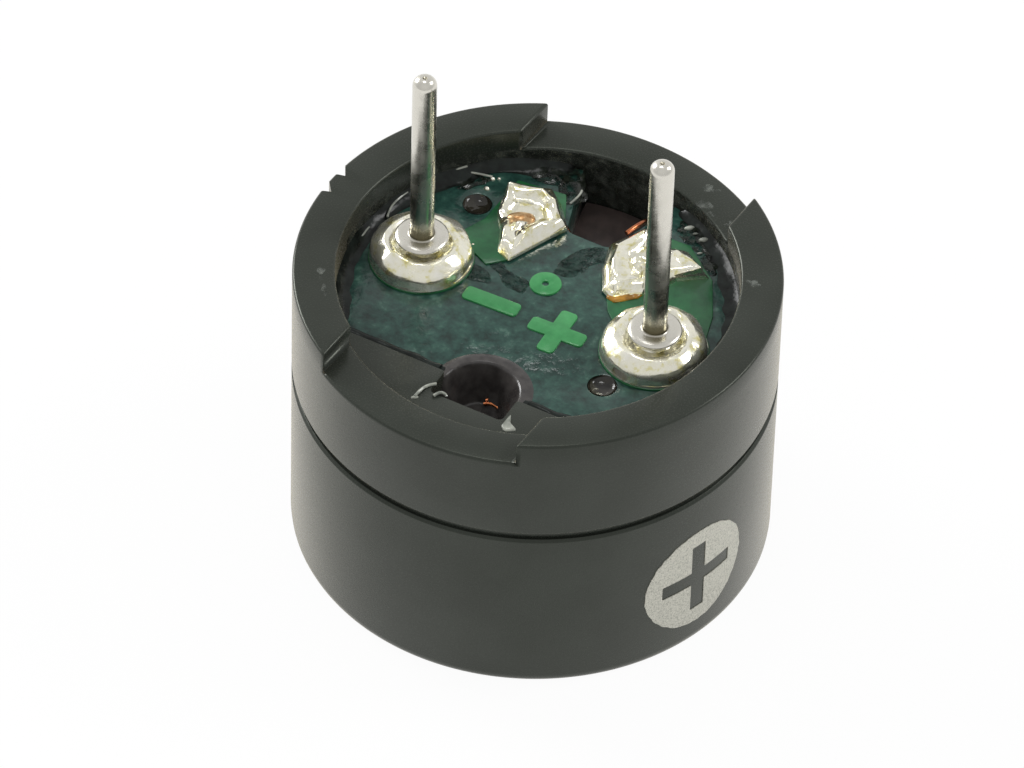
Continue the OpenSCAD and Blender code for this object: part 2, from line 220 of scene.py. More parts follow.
def new_verts(made: Iterable[Any]) -> list[bmesh.types.BMVert]:
    """Picks the points out of what an operator made."""
    return [part for part in made if isinstance(part, bmesh.types.BMVert)]


def drawn_in(bm: bmesh.types.BMesh, edges: list[bmesh.types.BMEdge], middle: Vector,
             share: float) -> tuple[list[bmesh.types.BMVert], list[bmesh.types.BMEdge]]:
    """Grows one ring of faces inward from a loop of edges.

    Args:
        bm: the shape.
        edges: the loop.
        middle: the point that it closes in on.
        share: the new loop's size as a share of the old one's.

    Returns:
        The new loop's points and edges.
    """
    made = bmesh.ops.extrude_edge_only(bm, edges=edges)["geom"]
    verts = new_verts(made)
    ring = set(verts)
    bmesh.ops.scale(bm, verts=verts, vec=(share, share, 1), space=Matrix.Translation(-middle))
    return verts, [part for part in made
                   if isinstance(part, bmesh.types.BMEdge) and set(part.verts) <= ring]


def spun(profile: list[tuple[float, float]], segments: int,
         centre: tuple[float, float] = (0.0, 0.0), closed: bool = True) -> bmesh.types.BMesh:
    """Turns a profile all the way round an upright axis.

    Args:
        profile: radius and height of each point.
        segments: steps of the full turn.
        centre: where the axis stands.
        closed: whether the last point joins the first.

    Returns:
        The turned shape.
    """
    bm = bmesh.new()
    verts = [bm.verts.new((r, 0, z)) for r, z in profile]
    after = verts[1:] + (verts[:1] if closed else [])
    edges = [bm.edges.new(pair) for pair in zip(verts, after)]
    bmesh.ops.spin(bm, geom=verts + edges, cent=(0, 0, 0), axis=(0, 0, 1), angle=2 * math.pi,
                   steps=segments, use_merge=True, use_duplicate=False)
    bmesh.ops.remove_doubles(bm, verts=bm.verts, dist=WELD)
    bmesh.ops.translate(bm, verts=bm.verts, vec=(centre[0], centre[1], 0))
    bmesh.ops.recalc_face_normals(bm, faces=bm.faces)
    return bm


def slab(outline: list[tuple[float, float]], low: float, high: float,
         holes: Iterable[list[tuple[float, float]]] = ()) -> bmesh.types.BMesh:
    """Raises a flat outline, with holes in it, to a plate.

    Args:
        outline: the outer points.
        low: height of its underside.
        high: height of its top.
        holes: outlines of the holes.

    Returns:
        The plate.
    """
    bm = bmesh.new()
    edges = []
    for loop in [outline, *holes]:
        verts = [bm.verts.new((x, y, low)) for x, y in loop]
        edges += [bm.edges.new(pair) for pair in zip(verts, verts[1:] + verts[:1])]
    bmesh.ops.triangle_fill(bm, use_beauty=True, use_dissolve=False, edges=edges)
    grown = bmesh.ops.extrude_face_region(bm, geom=bm.faces[:], use_keep_orig=True)
    bmesh.ops.translate(bm, vec=(0, 0, high - low), verts=new_verts(grown["geom"]))
    bmesh.ops.recalc_face_normals(bm, faces=bm.faces)
    return bm


def lowest(edge: bmesh.types.BMEdge) -> float:
    """Height of an edge's lower end."""
    return min(vert.co.z for vert in edge.verts)


def soften(bm: bmesh.types.BMesh, width: float, segments: int = 3,
           pick: Callable[[bmesh.types.BMEdge], bool] = lambda edge: True,
           angle: float = 50.0) -> None:
    """Rounds the sharp outer edges of a shape.

    Args:
        bm: the shape.
        width: how far the rounding reaches from each edge.
        segments: facets across the rounding.
        pick: which of the sharp edges are rounded.
        angle: smallest turn, in degrees, of an edge that counts as sharp.
    """
    limit = math.radians(angle)
    edges = [e for e in bm.edges
             if len(e.link_faces) == 2 and e.calc_face_angle_signed(0) > limit and pick(e)]
    bmesh.ops.bevel(bm, geom=edges, offset=width, offset_type="OFFSET", affect="EDGES",
                    segments=segments, profile=0.5, material=-1, clamp_overlap=True)


def piece(bm: bmesh.types.BMesh, name: str, finish: bpy.types.Material,
          nodes: Iterable[str] = (), smooth: float = SMOOTH_ANGLE) -> None:
    """Turns a shape in millimetres to a piece of the object in metres, riding on its body.

    Args:
        bm: the shape, which is freed.
        name: the piece's name.
        finish: its material.
        nodes: the solids it stands for.
        smooth: edges that turn by more than this angle, in radians, stay sharp.
    """
    bmesh.ops.scale(bm, vec=(MM, MM, MM), verts=bm.verts)
    for face in bm.faces:
        face.smooth = True
    for edge in bm.edges:
        edge.smooth = len(edge.link_faces) != 2 or edge.calc_face_angle(0) < smooth
    mesh = bpy.data.meshes.new(name)
    bm.to_mesh(mesh)
    bm.free()
    mesh.materials.append(finish)
    obj = bpy.data.objects.new(name, mesh)
    bpy.context.scene.collection.objects.link(obj)
    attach(obj, BODY)
    if nodes:
        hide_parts(*nodes)
    log.info("%s: %d faces", name, len(mesh.polygons))


def combined(base: bmesh.types.BMesh, tools: Iterable[bmesh.types.BMesh],
             how: Cut) -> bmesh.types.BMesh:
    """Joins shapes to, or cuts them from, another.

    Args:
        base: the shape that is changed, which is freed.
        tools: the shapes that are joined or cut, which are freed.
        how: whether they are joined or cut.

    Returns:
        The resulting shape.
    """
    def loose(bm: bmesh.types.BMesh) -> bpy.types.Object:
        """Makes a scratch object of a shape.

        Args:
            bm: the shape, which is freed.

        Returns:
            The object.
        """
        mesh = bpy.data.meshes.new("scratch")
        bm.to_mesh(mesh)
        bm.free()
        obj = bpy.data.objects.new("scratch", mesh)
        bpy.context.scene.collection.objects.link(obj)
        return obj

    target = loose(base)
    others = [loose(tool) for tool in tools]
    for other in others:
        step = target.modifiers.new("cut", "BOOLEAN")
        step.operation, step.object, step.solver = how.value, other, "EXACT"
    result = bmesh.new()
    result.from_mesh(target.evaluated_get(bpy.context.evaluated_depsgraph_get()).to_mesh())
    for obj in [target, *others]:
        mesh = obj.data
        bpy.data.objects.remove(obj)
        bpy.data.meshes.remove(mesh)
    return result


def dress(node: str, finish: bpy.types.Material) -> None:
    """Gives a carried-over solid its material.

    Args:
        node: the solid's name.
        finish: its material.
    """
    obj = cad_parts[node]
    obj.data.materials.clear()
    obj.data.materials.append(finish)


def span(node: str) -> tuple[Vector, Vector]:
    """Lowest and highest corner of a solid, in millimetres."""
    low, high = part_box(node)
    return low / MM, high / MM


def solid(node: str) -> bmesh.types.BMesh:
    """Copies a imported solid's surface, joins its triangles and drops the seams inside flat faces.

    Args:
        node: the solid's name.

    Returns:
        The shape in millimetres.
    """
    bm = bmesh.new()
    bm.from_mesh(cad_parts[node].data)
    bmesh.ops.scale(bm, vec=(1 / MM, 1 / MM, 1 / MM), verts=bm.verts)
    bmesh.ops.remove_doubles(bm, verts=bm.verts, dist=WELD_SOLID)
    bmesh.ops.dissolve_limit(bm, angle_limit=FLAT_ANGLE, verts=bm.verts, edges=bm.edges)
    return bm


def wobble(bm: bmesh.types.BMesh, size: float, depth: float, seed: float = 0.0,
           above: float = -math.inf) -> None:
    """Moves a shape's points by smooth noise, as hand work leaves them.

    Args:
        bm: the shape.
        size: width of the lumps.
        depth: how far a point may move.
        seed: shifts the noise.
        above: points up to this height stay.
    """
    shift = Vector((seed, 3.7 * seed, 0))  # the second share keeps two seeds' lumps apart
    for vert in bm.verts:
        if vert.co.z > above:
            vert.co += mnoise.noise_vector(vert.co / size + shift) * depth


def tube(path: list[Vector], radius: float, sides: int = 16) -> bmesh.types.BMesh:
    """Sweeps a circle along a path, with closed ends.

    Args:
        path: the points of its middle line.
        radius: the circle's radius.
        sides: facets round it.

    Returns:
        The tube.
    """
    bm = bmesh.new()
    rings = []
    for i, point in enumerate(path):
        ahead = (path[min(i + 1, len(path) - 1)] - path[max(i - 1, 0)]).normalized()
        turn = Vector((0, 0, 1)).rotation_difference(ahead).to_matrix().to_4x4()
        made = bmesh.ops.create_circle(bm, cap_ends=i in (0, len(path) - 1), radius=radius,
                                       segments=sides, matrix=Matrix.Translation(point) @ turn)
        rings.append(made["verts"])
    for low, high in zip(rings, rings[1:]):
        joined = [e for ring in (low, high) for v in ring for e in v.link_edges
                  if e.other_vert(v) in ring]
        bmesh.ops.bridge_loops(bm, edges=list(dict.fromkeys(joined)))
    bmesh.ops.recalc_face_normals(bm, faces=bm.faces)
    return bm


def bezier(points: list[tuple[float, float, float]], low: float, steps: int) -> list[Vector]:
    """Points along the curve that four points shape.

    Args:
        points: x, y and height of the four.
        low: the level from which their heights are counted.
        steps: number of chords.

    Returns:
        The points.
    """
    a, b, c, d = (Vector((x, y, low + up)) for x, y, up in points)
    return [a * (1 - t) ** 3 + b * 3 * t * (1 - t) ** 2 + c * 3 * t * t * (1 - t) + d * t ** 3
            for t in (i / steps for i in range(steps + 1))]


def lump(outline: list[tuple[float, float]], crown: tuple[float, float], low: float,
         height: float, flank: float = 0.35, rings: int = 22) -> bmesh.types.BMesh:
    """Raises a flat outline to a rounded heap, in rings that close in on its crown.

    The rings stand closer near the foot, where the side is steep. The side gives most of the
    height, and a gentle slope towards the crown the rest.

    Args:
        outline: the foot's points.
        crown: where the rings end.
        low: height of the foot.
        height: height of the heap above it.
        flank: share of the way inward over which the side rises.
        rings: number of rings.

    Returns:
        The heap, closed underneath.
    """
    closing, crowding, side_h, crown_h = 0.97, 1.3, 0.85, 0.15
    bm = bmesh.new()
    middle = Vector((*crown, low))
    foot = bm.faces.new([bm.verts.new((x, y, low)) for x, y in outline])
    edges, scale = list(foot.edges), 1.0
    for k in range(1, rings + 1):
        wanted = 1 - closing * (k / rings) ** crowding
        verts, edges = drawn_in(bm, edges, middle, wanted / scale)
        side = 1 - min((1 - wanted) / flank, 1)
        rise = height * (side_h * math.sqrt(1 - side * side) + crown_h * (1 - wanted))
        for vert in verts:
            vert.co.z = low + rise
        scale = wanted
    bmesh.ops.contextual_create(bm, geom=edges)
    bmesh.ops.recalc_face_normals(bm, faces=bm.faces)
    return bm


@dataclass(frozen=True)
class Stroke:
    """One pull of the iron or the needle: a line along which a heap stands higher or lower."""

    start: tuple[float, float]
    end: tuple[float, float]
    width: float
    rise: float

    def at(self, point: Vector) -> float:
        """How much it lifts a point.

        Args:
            point: the point.

        Returns:
            The lift in millimetres.
        """
        a, b = Vector(self.start), Vector(self.end)
        way, flat = b - a, point.to_2d() - a
        t = clamped(flat.dot(way) / max(way.length_squared, 1e-9))
        return self.rise * math.exp(-((flat - way * t).length / self.width) ** 2)


def sculpt(bm: bmesh.types.BMesh, strokes: Iterable[Stroke], low: float, full: float) -> None:
    """Works strokes into a heap, less and less towards its foot.

    Args:
        bm: the heap.
        strokes: the strokes.
        low: height of the foot, where nothing moves.
        full: height above the foot from which the strokes have their full depth.
    """
    strokes = list(strokes)
    for vert in bm.verts:
        share = clamped((vert.co.z - low) / full)
        if share > 0:
            vert.co.z = max(vert.co.z + share * sum(s.at(vert.co) for s in strokes), low + NEAR)


def ellipse(centre: tuple[float, float], long_r: float, short_r: float, turn: float,
            steps: int = 40, ragged: float = 0.0, seed: float = 0.0) -> list[tuple[float, float]]:
    """Points round an oval, with an uneven edge where it is wanted.

    Args:
        centre: its middle.
        long_r: half its length.
        short_r: half its width.
        turn: direction of its length in degrees.
        steps: number of points.
        ragged: how far the edge strays.
        seed: shifts the unevenness.

    Returns:
        The points as pairs.
    """
    c, s = math.cos(math.radians(turn)), math.sin(math.radians(turn))
    points = []
    for x, y in circle((0, 0), 1, steps):
        stray = ragged * mnoise.noise(Vector((1.5 * x, 1.5 * y, seed)))
        u, v = x * (long_r + stray), y * (short_r + stray)
        points.append((centre[0] + c * u - s * v, centre[1] + s * u + c * v))
    return points


@dataclass(frozen=True)
class Spot:
    """A small oval of resin or solder on a level surface."""

    x: float
    y: float
    long_r: float
    short_r: float
    turn: float = 0.0  # direction of its length in degrees

    def heap(self, low: float, height: float, steps: int, rings: int, flank: float = 0.9,
             ragged: float = 0.0) -> bmesh.types.BMesh:
        """Raises it to a low heap.

        Args:
            low: height of the surface.
            height: height of the heap above it.
            steps: points round the oval.
            rings: rings between its edge and its middle.
            flank: share of the way inward over which the side rises.
            ragged: how far the edge strays.

        Returns:
            The heap.
        """
        at = (self.x, self.y)
        outline = ellipse(at, self.long_r, self.short_r, self.turn, steps, ragged, self.x)
        return lump(outline, at, low, height, flank, rings)


def gathered(parts: Iterable[bmesh.types.BMesh]) -> bmesh.types.BMesh:
    """Puts several shapes in one.

    Args:
        parts: the shapes, which are freed.

    Returns:
        The one that holds them.
    """
    whole = bmesh.new()
    for part in parts:
        mesh = bpy.data.meshes.new("scratch")
        part.to_mesh(mesh)
        part.free()
        whole.from_mesh(mesh)
        bpy.data.meshes.remove(mesh)
    return whole


# ---------------------------------------------------------------------------------------------
# Finishes


class Shader:
    """A new material with one Principled shader, and the patterns that drive it."""

    def __init__(self, name: str, colour: str, roughness: float, **inputs: Any) -> None:
        """Starts the material.

        Args:
            name: the material's name.
            colour: sRGB hex of its base colour.
            roughness: its roughness.
            inputs: other values of the shader, with _ for each space in a socket's name.
        """
        self.material = bpy.data.materials.new(name)
        self.material.use_nodes = True
        self.tree = self.material.node_tree
        self.tree.nodes.clear()
        values = {key.replace("_", " "): value for key, value in inputs.items()}
        self.bsdf = add(self.tree, "BsdfPrincipled",
                        {"Base Color": linear(colour), "Roughness": roughness, **values})
        add(self.tree, "OutputMaterial", {"Surface": self.bsdf.outputs["BSDF"]})
        self.where = add(self.tree, "TexCoord").outputs["Object"]

    def grain(self, size: float, detail: float = 2.0, rough: float = 0.5) -> bpy.types.NodeSocket:
        """Noise with lumps of a real size.

        Args:
            size: width of the lumps in millimetres.
            detail: how many finer layers it holds.
            rough: how strong those are.

        Returns:
            The noise's factor.
        """
        noise = add(self.tree, "TexNoise", {"Vector": self.where, "Scale": 1 / (size * MM),
                                            "Detail": detail, "Roughness": rough})
        return noise.outputs["Fac"]

    def drive(self, socket: str, factor: bpy.types.NodeSocket,
              stops: Iterable[tuple[float, Any]]) -> None:
        """Drives a socket by a ramp on a pattern. A stop is a place with a hex colour or a value."""
        marks = [(at, linear(v) if isinstance(v, str) else v) for at, v in stops]
        self.tree.links.new(ramp(self.tree, factor, marks), self.bsdf.inputs[socket])

    def bump(self, *layers: tuple[bpy.types.NodeSocket, float]) -> None:
        """Raises the surface by patterns.

        Args:
            layers: each pattern, with its depth in millimetres.
        """
        normal = None
        for height, depth in layers:
            inputs: dict[Any, Any] = {"Height": height, "Distance": depth * MM, "Strength": 1.0}
            if normal is not None:
                inputs["Normal"] = normal
            normal = add(self.tree, "Bump", inputs).outputs["Normal"]
        self.tree.links.new(normal, self.bsdf.inputs["Normal"])
        if self.bsdf.inputs["Coat Weight"].default_value > 0:
            self.tree.links.new(normal, self.bsdf.inputs["Coat Normal"])


@dataclass(frozen=True)
class BlackMoulding:
    """Glass-filled polyester, injection moulded: near black and satin, paler only at a slant."""

    colour: str = "262825"
    dark: str = "212521"
    pale: str = "292d29"
    slant: str = "f6eac8"  # the tint in which it pales at a slant
    shine: str = "f2f8e8"  # the tint of what it mirrors
    grain_size: float = 0.05  # the mould's spark-eroded grain
    flow_size: float = 1.6  # the clouds that the flow of the plastic leaves

    def material(self) -> bpy.types.Material:
        """Mixes it.

        Returns:
            The new material.
        """
        shader = Shader("black_polyester_moulded", self.colour, 0.25, IOR=1.46, Sheen_Weight=0.45,
                        Sheen_Roughness=0.3, Sheen_Tint=linear(self.slant),
                        Specular_Tint=linear(self.shine))
        fine, flow = shader.grain(self.grain_size, 3.0, 0.6), shader.grain(self.flow_size, 3.0)
        shader.drive("Base Color", flow, [(0.35, self.dark), (0.7, self.pale)])
        shader.drive("Roughness", fine, [(0.3, 0.22), (0.7, 0.3)])
        shader.bump((fine, 0.0008), (flow, 0.003))
        return shader.material


@dataclass(frozen=True)
class MaskedLaminate:
    """Glass laminate under green solder mask: a dark, wet-looking green over a flat sheet, with
    paler smears where flux dried on it."""

    colour: str = "16332c"

    def material(self) -> bpy.types.Material:
        """Mixes it.

        Returns:
            The new material.
        """
        shader = Shader("laminate_solder_mask", self.colour, 0.12, IOR=1.5)
        wave, smear = shader.grain(0.9, 2.0), shader.grain(0.32, 4.0, 0.6)
        pores = shader.grain(0.14, 3.0, 0.6)
        shader.drive("Base Color", smear, [(0.28, "152a25"), (0.48, "23413a"), (0.62, "2d4f45"),
                                           (0.75, "4d6e61")])
        shader.drive("Roughness", smear, [(0.35, 0.05), (0.7, 0.22)])
        shader.bump((wave, 0.025), (smear, 0.02), (pores, 0.0015))
        return shader.material


@dataclass(frozen=True)
class MaskedCopper:
    """Copper foil under green solder mask: the same mask, lit from below by the metal."""

    name: str = "copper_solder_mask"
    dark: str = "184c2d"
    pale: str = "24663b"

    def material(self) -> bpy.types.Material:
        """Mixes it.

        Returns:
            The new material.
        """
        shader = Shader(self.name, self.pale, 0.2, IOR=1.5)
        cloud, pores = shader.grain(0.5, 3.0, 0.6), shader.grain(0.08, 2.0)
        shader.drive("Base Color", cloud, [(0.3, self.dark), (0.7, self.pale)])
        shader.bump((cloud, 0.008), (pores, 0.001))
        return shader.material


@dataclass(frozen=True)
class TinnedPin:
    """Tin-plated brass wire, drawn and dipped: bright, with faint lengthwise marks, and a brown
    band painted just above the collar as the collar's dark reflection."""

    collar: float  # height of the collar's top in millimetres
    colour: str = "dbd8ce"
    painted_reflection_h: float = 0.5  # how far up from there the painted brown reflection of the collar reaches
    streak_w: float = 0.07  # width of a drawing mark in millimetres
    streak_stretch: float = 0.06  # a mark's width as a share of its length

    def material(self) -> bpy.types.Material:
        """Mixes it.

        Returns:
            The new material.
        """
        shader = Shader("tinned_brass_drawn", self.colour, 0.22, Metallic=1.0)
        drawn = add(shader.tree, "Mapping", {"Vector": shader.where,
                                             "Scale": (1, 1, self.streak_stretch)})
        streak = add(shader.tree, "TexNoise", {"Vector": drawn.outputs["Vector"],
                                               "Scale": 1 / (self.streak_w * MM), "Detail": 3.0})
        dull = shader.grain(0.5, 3.0, 0.6)
        height = add(shader.tree, "SeparateXYZ", {0: shader.where}).outputs["Z"]
        above = add(shader.tree, "MapRange", {
            "Value": height, "From Min": self.collar * MM,
            "From Max": (self.collar + self.painted_reflection_h) * MM}).outputs["Result"]
        # painted reflection: a dark brown band starts just above the collar and fades upward
        shader.drive("Base Color", above, [(0.0, self.colour), (0.06, "66604a"), (0.5, "8b8670"),
                                           (1.0, self.colour)])
        shader.drive("Roughness", dull, [(0.3, 0.18), (0.75, 0.36)])
        shader.bump((streak.outputs["Fac"], 0.002), (dull, 0.004))
        return shader.material


@dataclass(frozen=True)
class TinSolder:
    """Tin solder, flowed by hand: cream white and frosty, with pale yellow flux left on it."""

    name: str = "tin_solder_flowed"
    smooth: float = 0.1
    frosty: float = 0.3
    metallic: float = 0.86
    colour: str = "e6e4d8"

    def material(self) -> bpy.types.Material:
        """Mixes it.

        Returns:
            The new material.
        """
        shader = Shader(self.name, self.colour, self.frosty, Metallic=self.metallic)
        lumps, frost = shader.grain(0.35, 2.0), shader.grain(0.05, 3.0, 0.6)
        flux = shader.grain(0.28, 3.0, 0.6)
        shader.drive("Base Color", flux, [(0.3, "f7f5ea"), (0.54, "f1eed9"), (0.64, "e2dba7"),
                                          (0.78, "c1b46d")])
        shader.drive("Roughness", lumps, [(0.35, self.smooth), (0.65, self.frosty)])
        shader.bump((lumps, 0.014), (flux, 0.003), (frost, 0.0008))
        return shader.material


@dataclass(frozen=True)
class EnamelledCopper:
    """Copper magnet wire in a thin varnish: warm metal with a gloss over it."""

    colour: str = "b4693a"

    def material(self) -> bpy.types.Material:
        """Mixes it.

        Returns:
            The new material.
        """
        shader = Shader("copper_wire_enamelled", self.colour, 0.25, Metallic=1.0, Coat_Weight=0.6,
                        Coat_Roughness=0.1)
        cloud = shader.grain(0.2, 2.0)
        shader.drive("Base Color", cloud, [(0.3, "9a5230"), (0.7, "c67a48")])
        shader.bump((cloud, 0.002))
        return shader.material


@dataclass(frozen=True)
class SealResin:
    """Clear epoxy run on by hand: it takes the colour of what it covers and shines like glass."""

    name: str
    dark: str
    pale: str
    roughness: float
    lump_depth: float
    cover: float = 1.0  # where it is less than 1, the film is patchy, and this is its densest
    ior: float = 1.5

    def material(self) -> bpy.types.Material:
        """Mixes it.

        Returns:
            The new material.
        """
        shader = Shader(self.name, self.pale, self.roughness, IOR=self.ior, Alpha=self.cover)
        lumps, ripple = shader.grain(0.3, 2.0), shader.grain(0.09, 2.0)
        shader.drive("Base Color", lumps, [(0.35, self.dark), (0.65, self.pale)])
        shader.bump((lumps, self.lump_depth), (ripple, 0.003))
        if self.cover < 1:
            shader.drive("Alpha", shader.grain(0.24, 4.0, 0.6), [(0.4, 0.0), (0.62, self.cover)])
        return shader.material


@dataclass(frozen=True)
class PlainFinish:
    """A finish of the inner parts: one colour with a real grain in it."""

    name: str
    dark: str
    pale: str
    roughness: float
    metallic: float = 0.0
    grain_size: float = 0.2

    def material(self) -> bpy.types.Material:
        """Mixes it.

        Returns:
            The new material.
        """
        shader = Shader(self.name, self.pale, self.roughness, Metallic=self.metallic)
        cloud = shader.grain(self.grain_size, 3.0, 0.6)
        shader.drive("Base Color", cloud, [(0.3, self.dark), (0.7, self.pale)])
        shader.bump((cloud, self.grain_size * 0.02))
        return shader.material


@dataclass(frozen=True)
class PrintInk:
    """Pale pad-printed ink on a grained moulding: thin, so the black shows through as specks."""

    colour: str = "b4b6b2"

    def material(self) -> bpy.types.Material:
        """Mixes it.

        Returns:
            The new material.
        """
        shader = Shader("epoxy_ink_printed", self.colour, 0.6, IOR=1.5)
        speck, cloud = shader.grain(0.045, 2.0, 0.6), shader.grain(0.6, 2.0)
        shader.drive("Base Color", speck, [(0.3, "94958a"), (0.5, "c2c1b5"), (0.7, "d2d0c4")])
        shader.bump((speck, 0.003), (cloud, 0.002))
        return shader.material


# Epoxy over the black moulding and the laminate's edge, which it darkens; its near-black colour
# is partly painted shade, by the wall and in the slit beside the board's straight edge
EPOXY_EDGE_AND_SHADE = SealResin("epoxy_over_moulding_and_painted_shade", "121513", "1f2522", roughness=0.2, lump_depth=0.014,
                       ior=1.28)
# A dark film of it that dulls the board's green, partly real resin and partly painted shade
# near the back wall, and a haze so thin that the green shows through
EPOXY_FILM_AND_SHADE = SealResin("epoxy_film", "131711", "272c24", roughness=0.1, lump_depth=0.02, cover=0.85)
EPOXY_HAZE = SealResin("epoxy_film_thin", "14251f", "3a564c", roughness=0.08, lump_depth=0.04,
                       cover=0.6)
# A skin of it on the base's inner wall, partly resin and partly painted light that greys the
# shaded wall, and smudges on its rim, which turn the black grey
EPOXY_WALL_AND_LIGHT = SealResin("epoxy_on_wall_and_painted_light", "2c2f2a", "5a5e57", roughness=0.3, lump_depth=0.01,
                       cover=0.6)
EPOXY_SMUDGE = SealResin("epoxy_smudge", "454944", "7a7f78", roughness=0.3, lump_depth=0.01,
                         cover=0.75)
# Epoxy down the front notch, a real lip whose dark lining is partly painted shade for the
# hole's depth, over iron in the lead notch, and deep and wet over the bosses
EPOXY_LINING_AND_SHADE = SealResin("epoxy_in_notch_and_painted_shade", "33302f", "454240", roughness=0.22, lump_depth=0.008)
EPOXY_DEEP = SealResin("epoxy_over_iron", "3c3432", "4a403d", roughness=0.3, lump_depth=0.006)
EPOXY_FILL = SealResin("epoxy_over_boss", "12110e", "2a271f", roughness=0.08, lump_depth=0.02)
# A wire's end that solder has wetted: copper that shows warm through the tin
TINNED_COPPER = PlainFinish("copper_tinned_thinly", "94683c", "d9b98c", roughness=0.3,
                            metallic=0.85, grain_size=0.12)
# Rosin flux that has dried hard: clear and brown
FLUX = SealResin("rosin_flux_dried", "6a4714", "c08a2c", roughness=0.2, lump_depth=0.01)
# Threads and drops of epoxy, whose pale colour is a painted highlight on their thin ridges
EPOXY_PALE_GLINT = SealResin("epoxy_thread", "7c8078", "aeb1a6", roughness=0.15, lump_depth=0.01)
# Solder that stayed wet the longest, where the coil's ends are joined: smoother and brighter
WET_SOLDER = TinSolder("tin_solder_wet", smooth=0.05, frosty=0.18, metallic=0.94)
# The thick copper of the board's marks, which lifts the mask's green
MARK_COPPER = MaskedCopper("thick_copper_solder_mask", dark="308047", pale="439859")
# Cold-rolled spring steel with a light oil film: even and grey
SPRING_STEEL = PlainFinish("spring_steel_rolled", "8f908d", "b5b5b0", roughness=0.3, metallic=1.0,
                           grain_size=0.3)
# Pressed low-carbon iron with a nickel flash: a little warmer and duller
SOFT_IRON = PlainFinish("soft_iron_plated", "8c8b86", "b3b1aa", roughness=0.35, metallic=1.0,
                        grain_size=0.25)
# Sintered ferrite: matt, dark and finely grained
FERRITE = PlainFinish("ferrite_sintered", "26262a", "3a3a3e", roughness=0.7, grain_size=0.08)
# Brown polyester film: an even brown, cloudy where it lies loose
FILM = PlainFinish("polyester_film", "2a1d12", "5a3f22", roughness=0.4, grain_size=0.4)


# ---------------------------------------------------------------------------------------------
# The part's pieces


@dataclass(frozen=True)
class Stack:
    """Radii, heights and places that the pieces share, in millimetres.

    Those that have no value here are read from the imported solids.
    """

    body_r: float
    parting: float  # where the case meets the base
    rim: float
    board_r: float
    flat_y: float  # from the middle to the board's straight edge
    board: float  # the board's underside
    top: float  # its upper face
    copper: float  # the masked copper's upper face
    yoke: float  # the shelf that the yoke plate lies on
    gap_t: float = 0.6  # depth of the vent gaps
    land_rise: float = 0.18  # height of the keying land above the board
    notch: tuple[float, float] = (0.27, -3.3)  # middle of the front notch
    notch_r: float = 1.0
    locate_at: tuple[tuple[float, float], ...] = ((-2.97, 2.33), (2.72, -1.66))
    pin_x: float = 3.25
    mound_h: float = 0.6  # height of the pins' solder, which carries their collars
    collar_t: float = 0.18

    @property
    def gap_floor(self) -> float:
        """Height of the vent gaps' floor."""
        return self.rim - self.gap_t

    @property
    def land(self) -> float:
        """Height of the keying land."""
        return self.top + self.land_rise

    @property
    def collar_top(self) -> float:
        """Height of the upper side of the pins' collars."""
        return self.copper + self.mound_h + self.collar_t

    @classmethod
    def read(cls) -> "Stack":
        """Reads the solids' boxes.

        Returns:
            The stack.
        """
        case, base, (low, high) = span("case")[1], span("base")[1], span("circuit_board")
        return cls(body_r=case.x, parting=case.z, rim=base.z, board_r=high.x, flat_y=-low.y,
                   board=low.z, top=high.z, copper=span("track_plus")[1].z,
                   yoke=span("yoke_plate")[0].z)


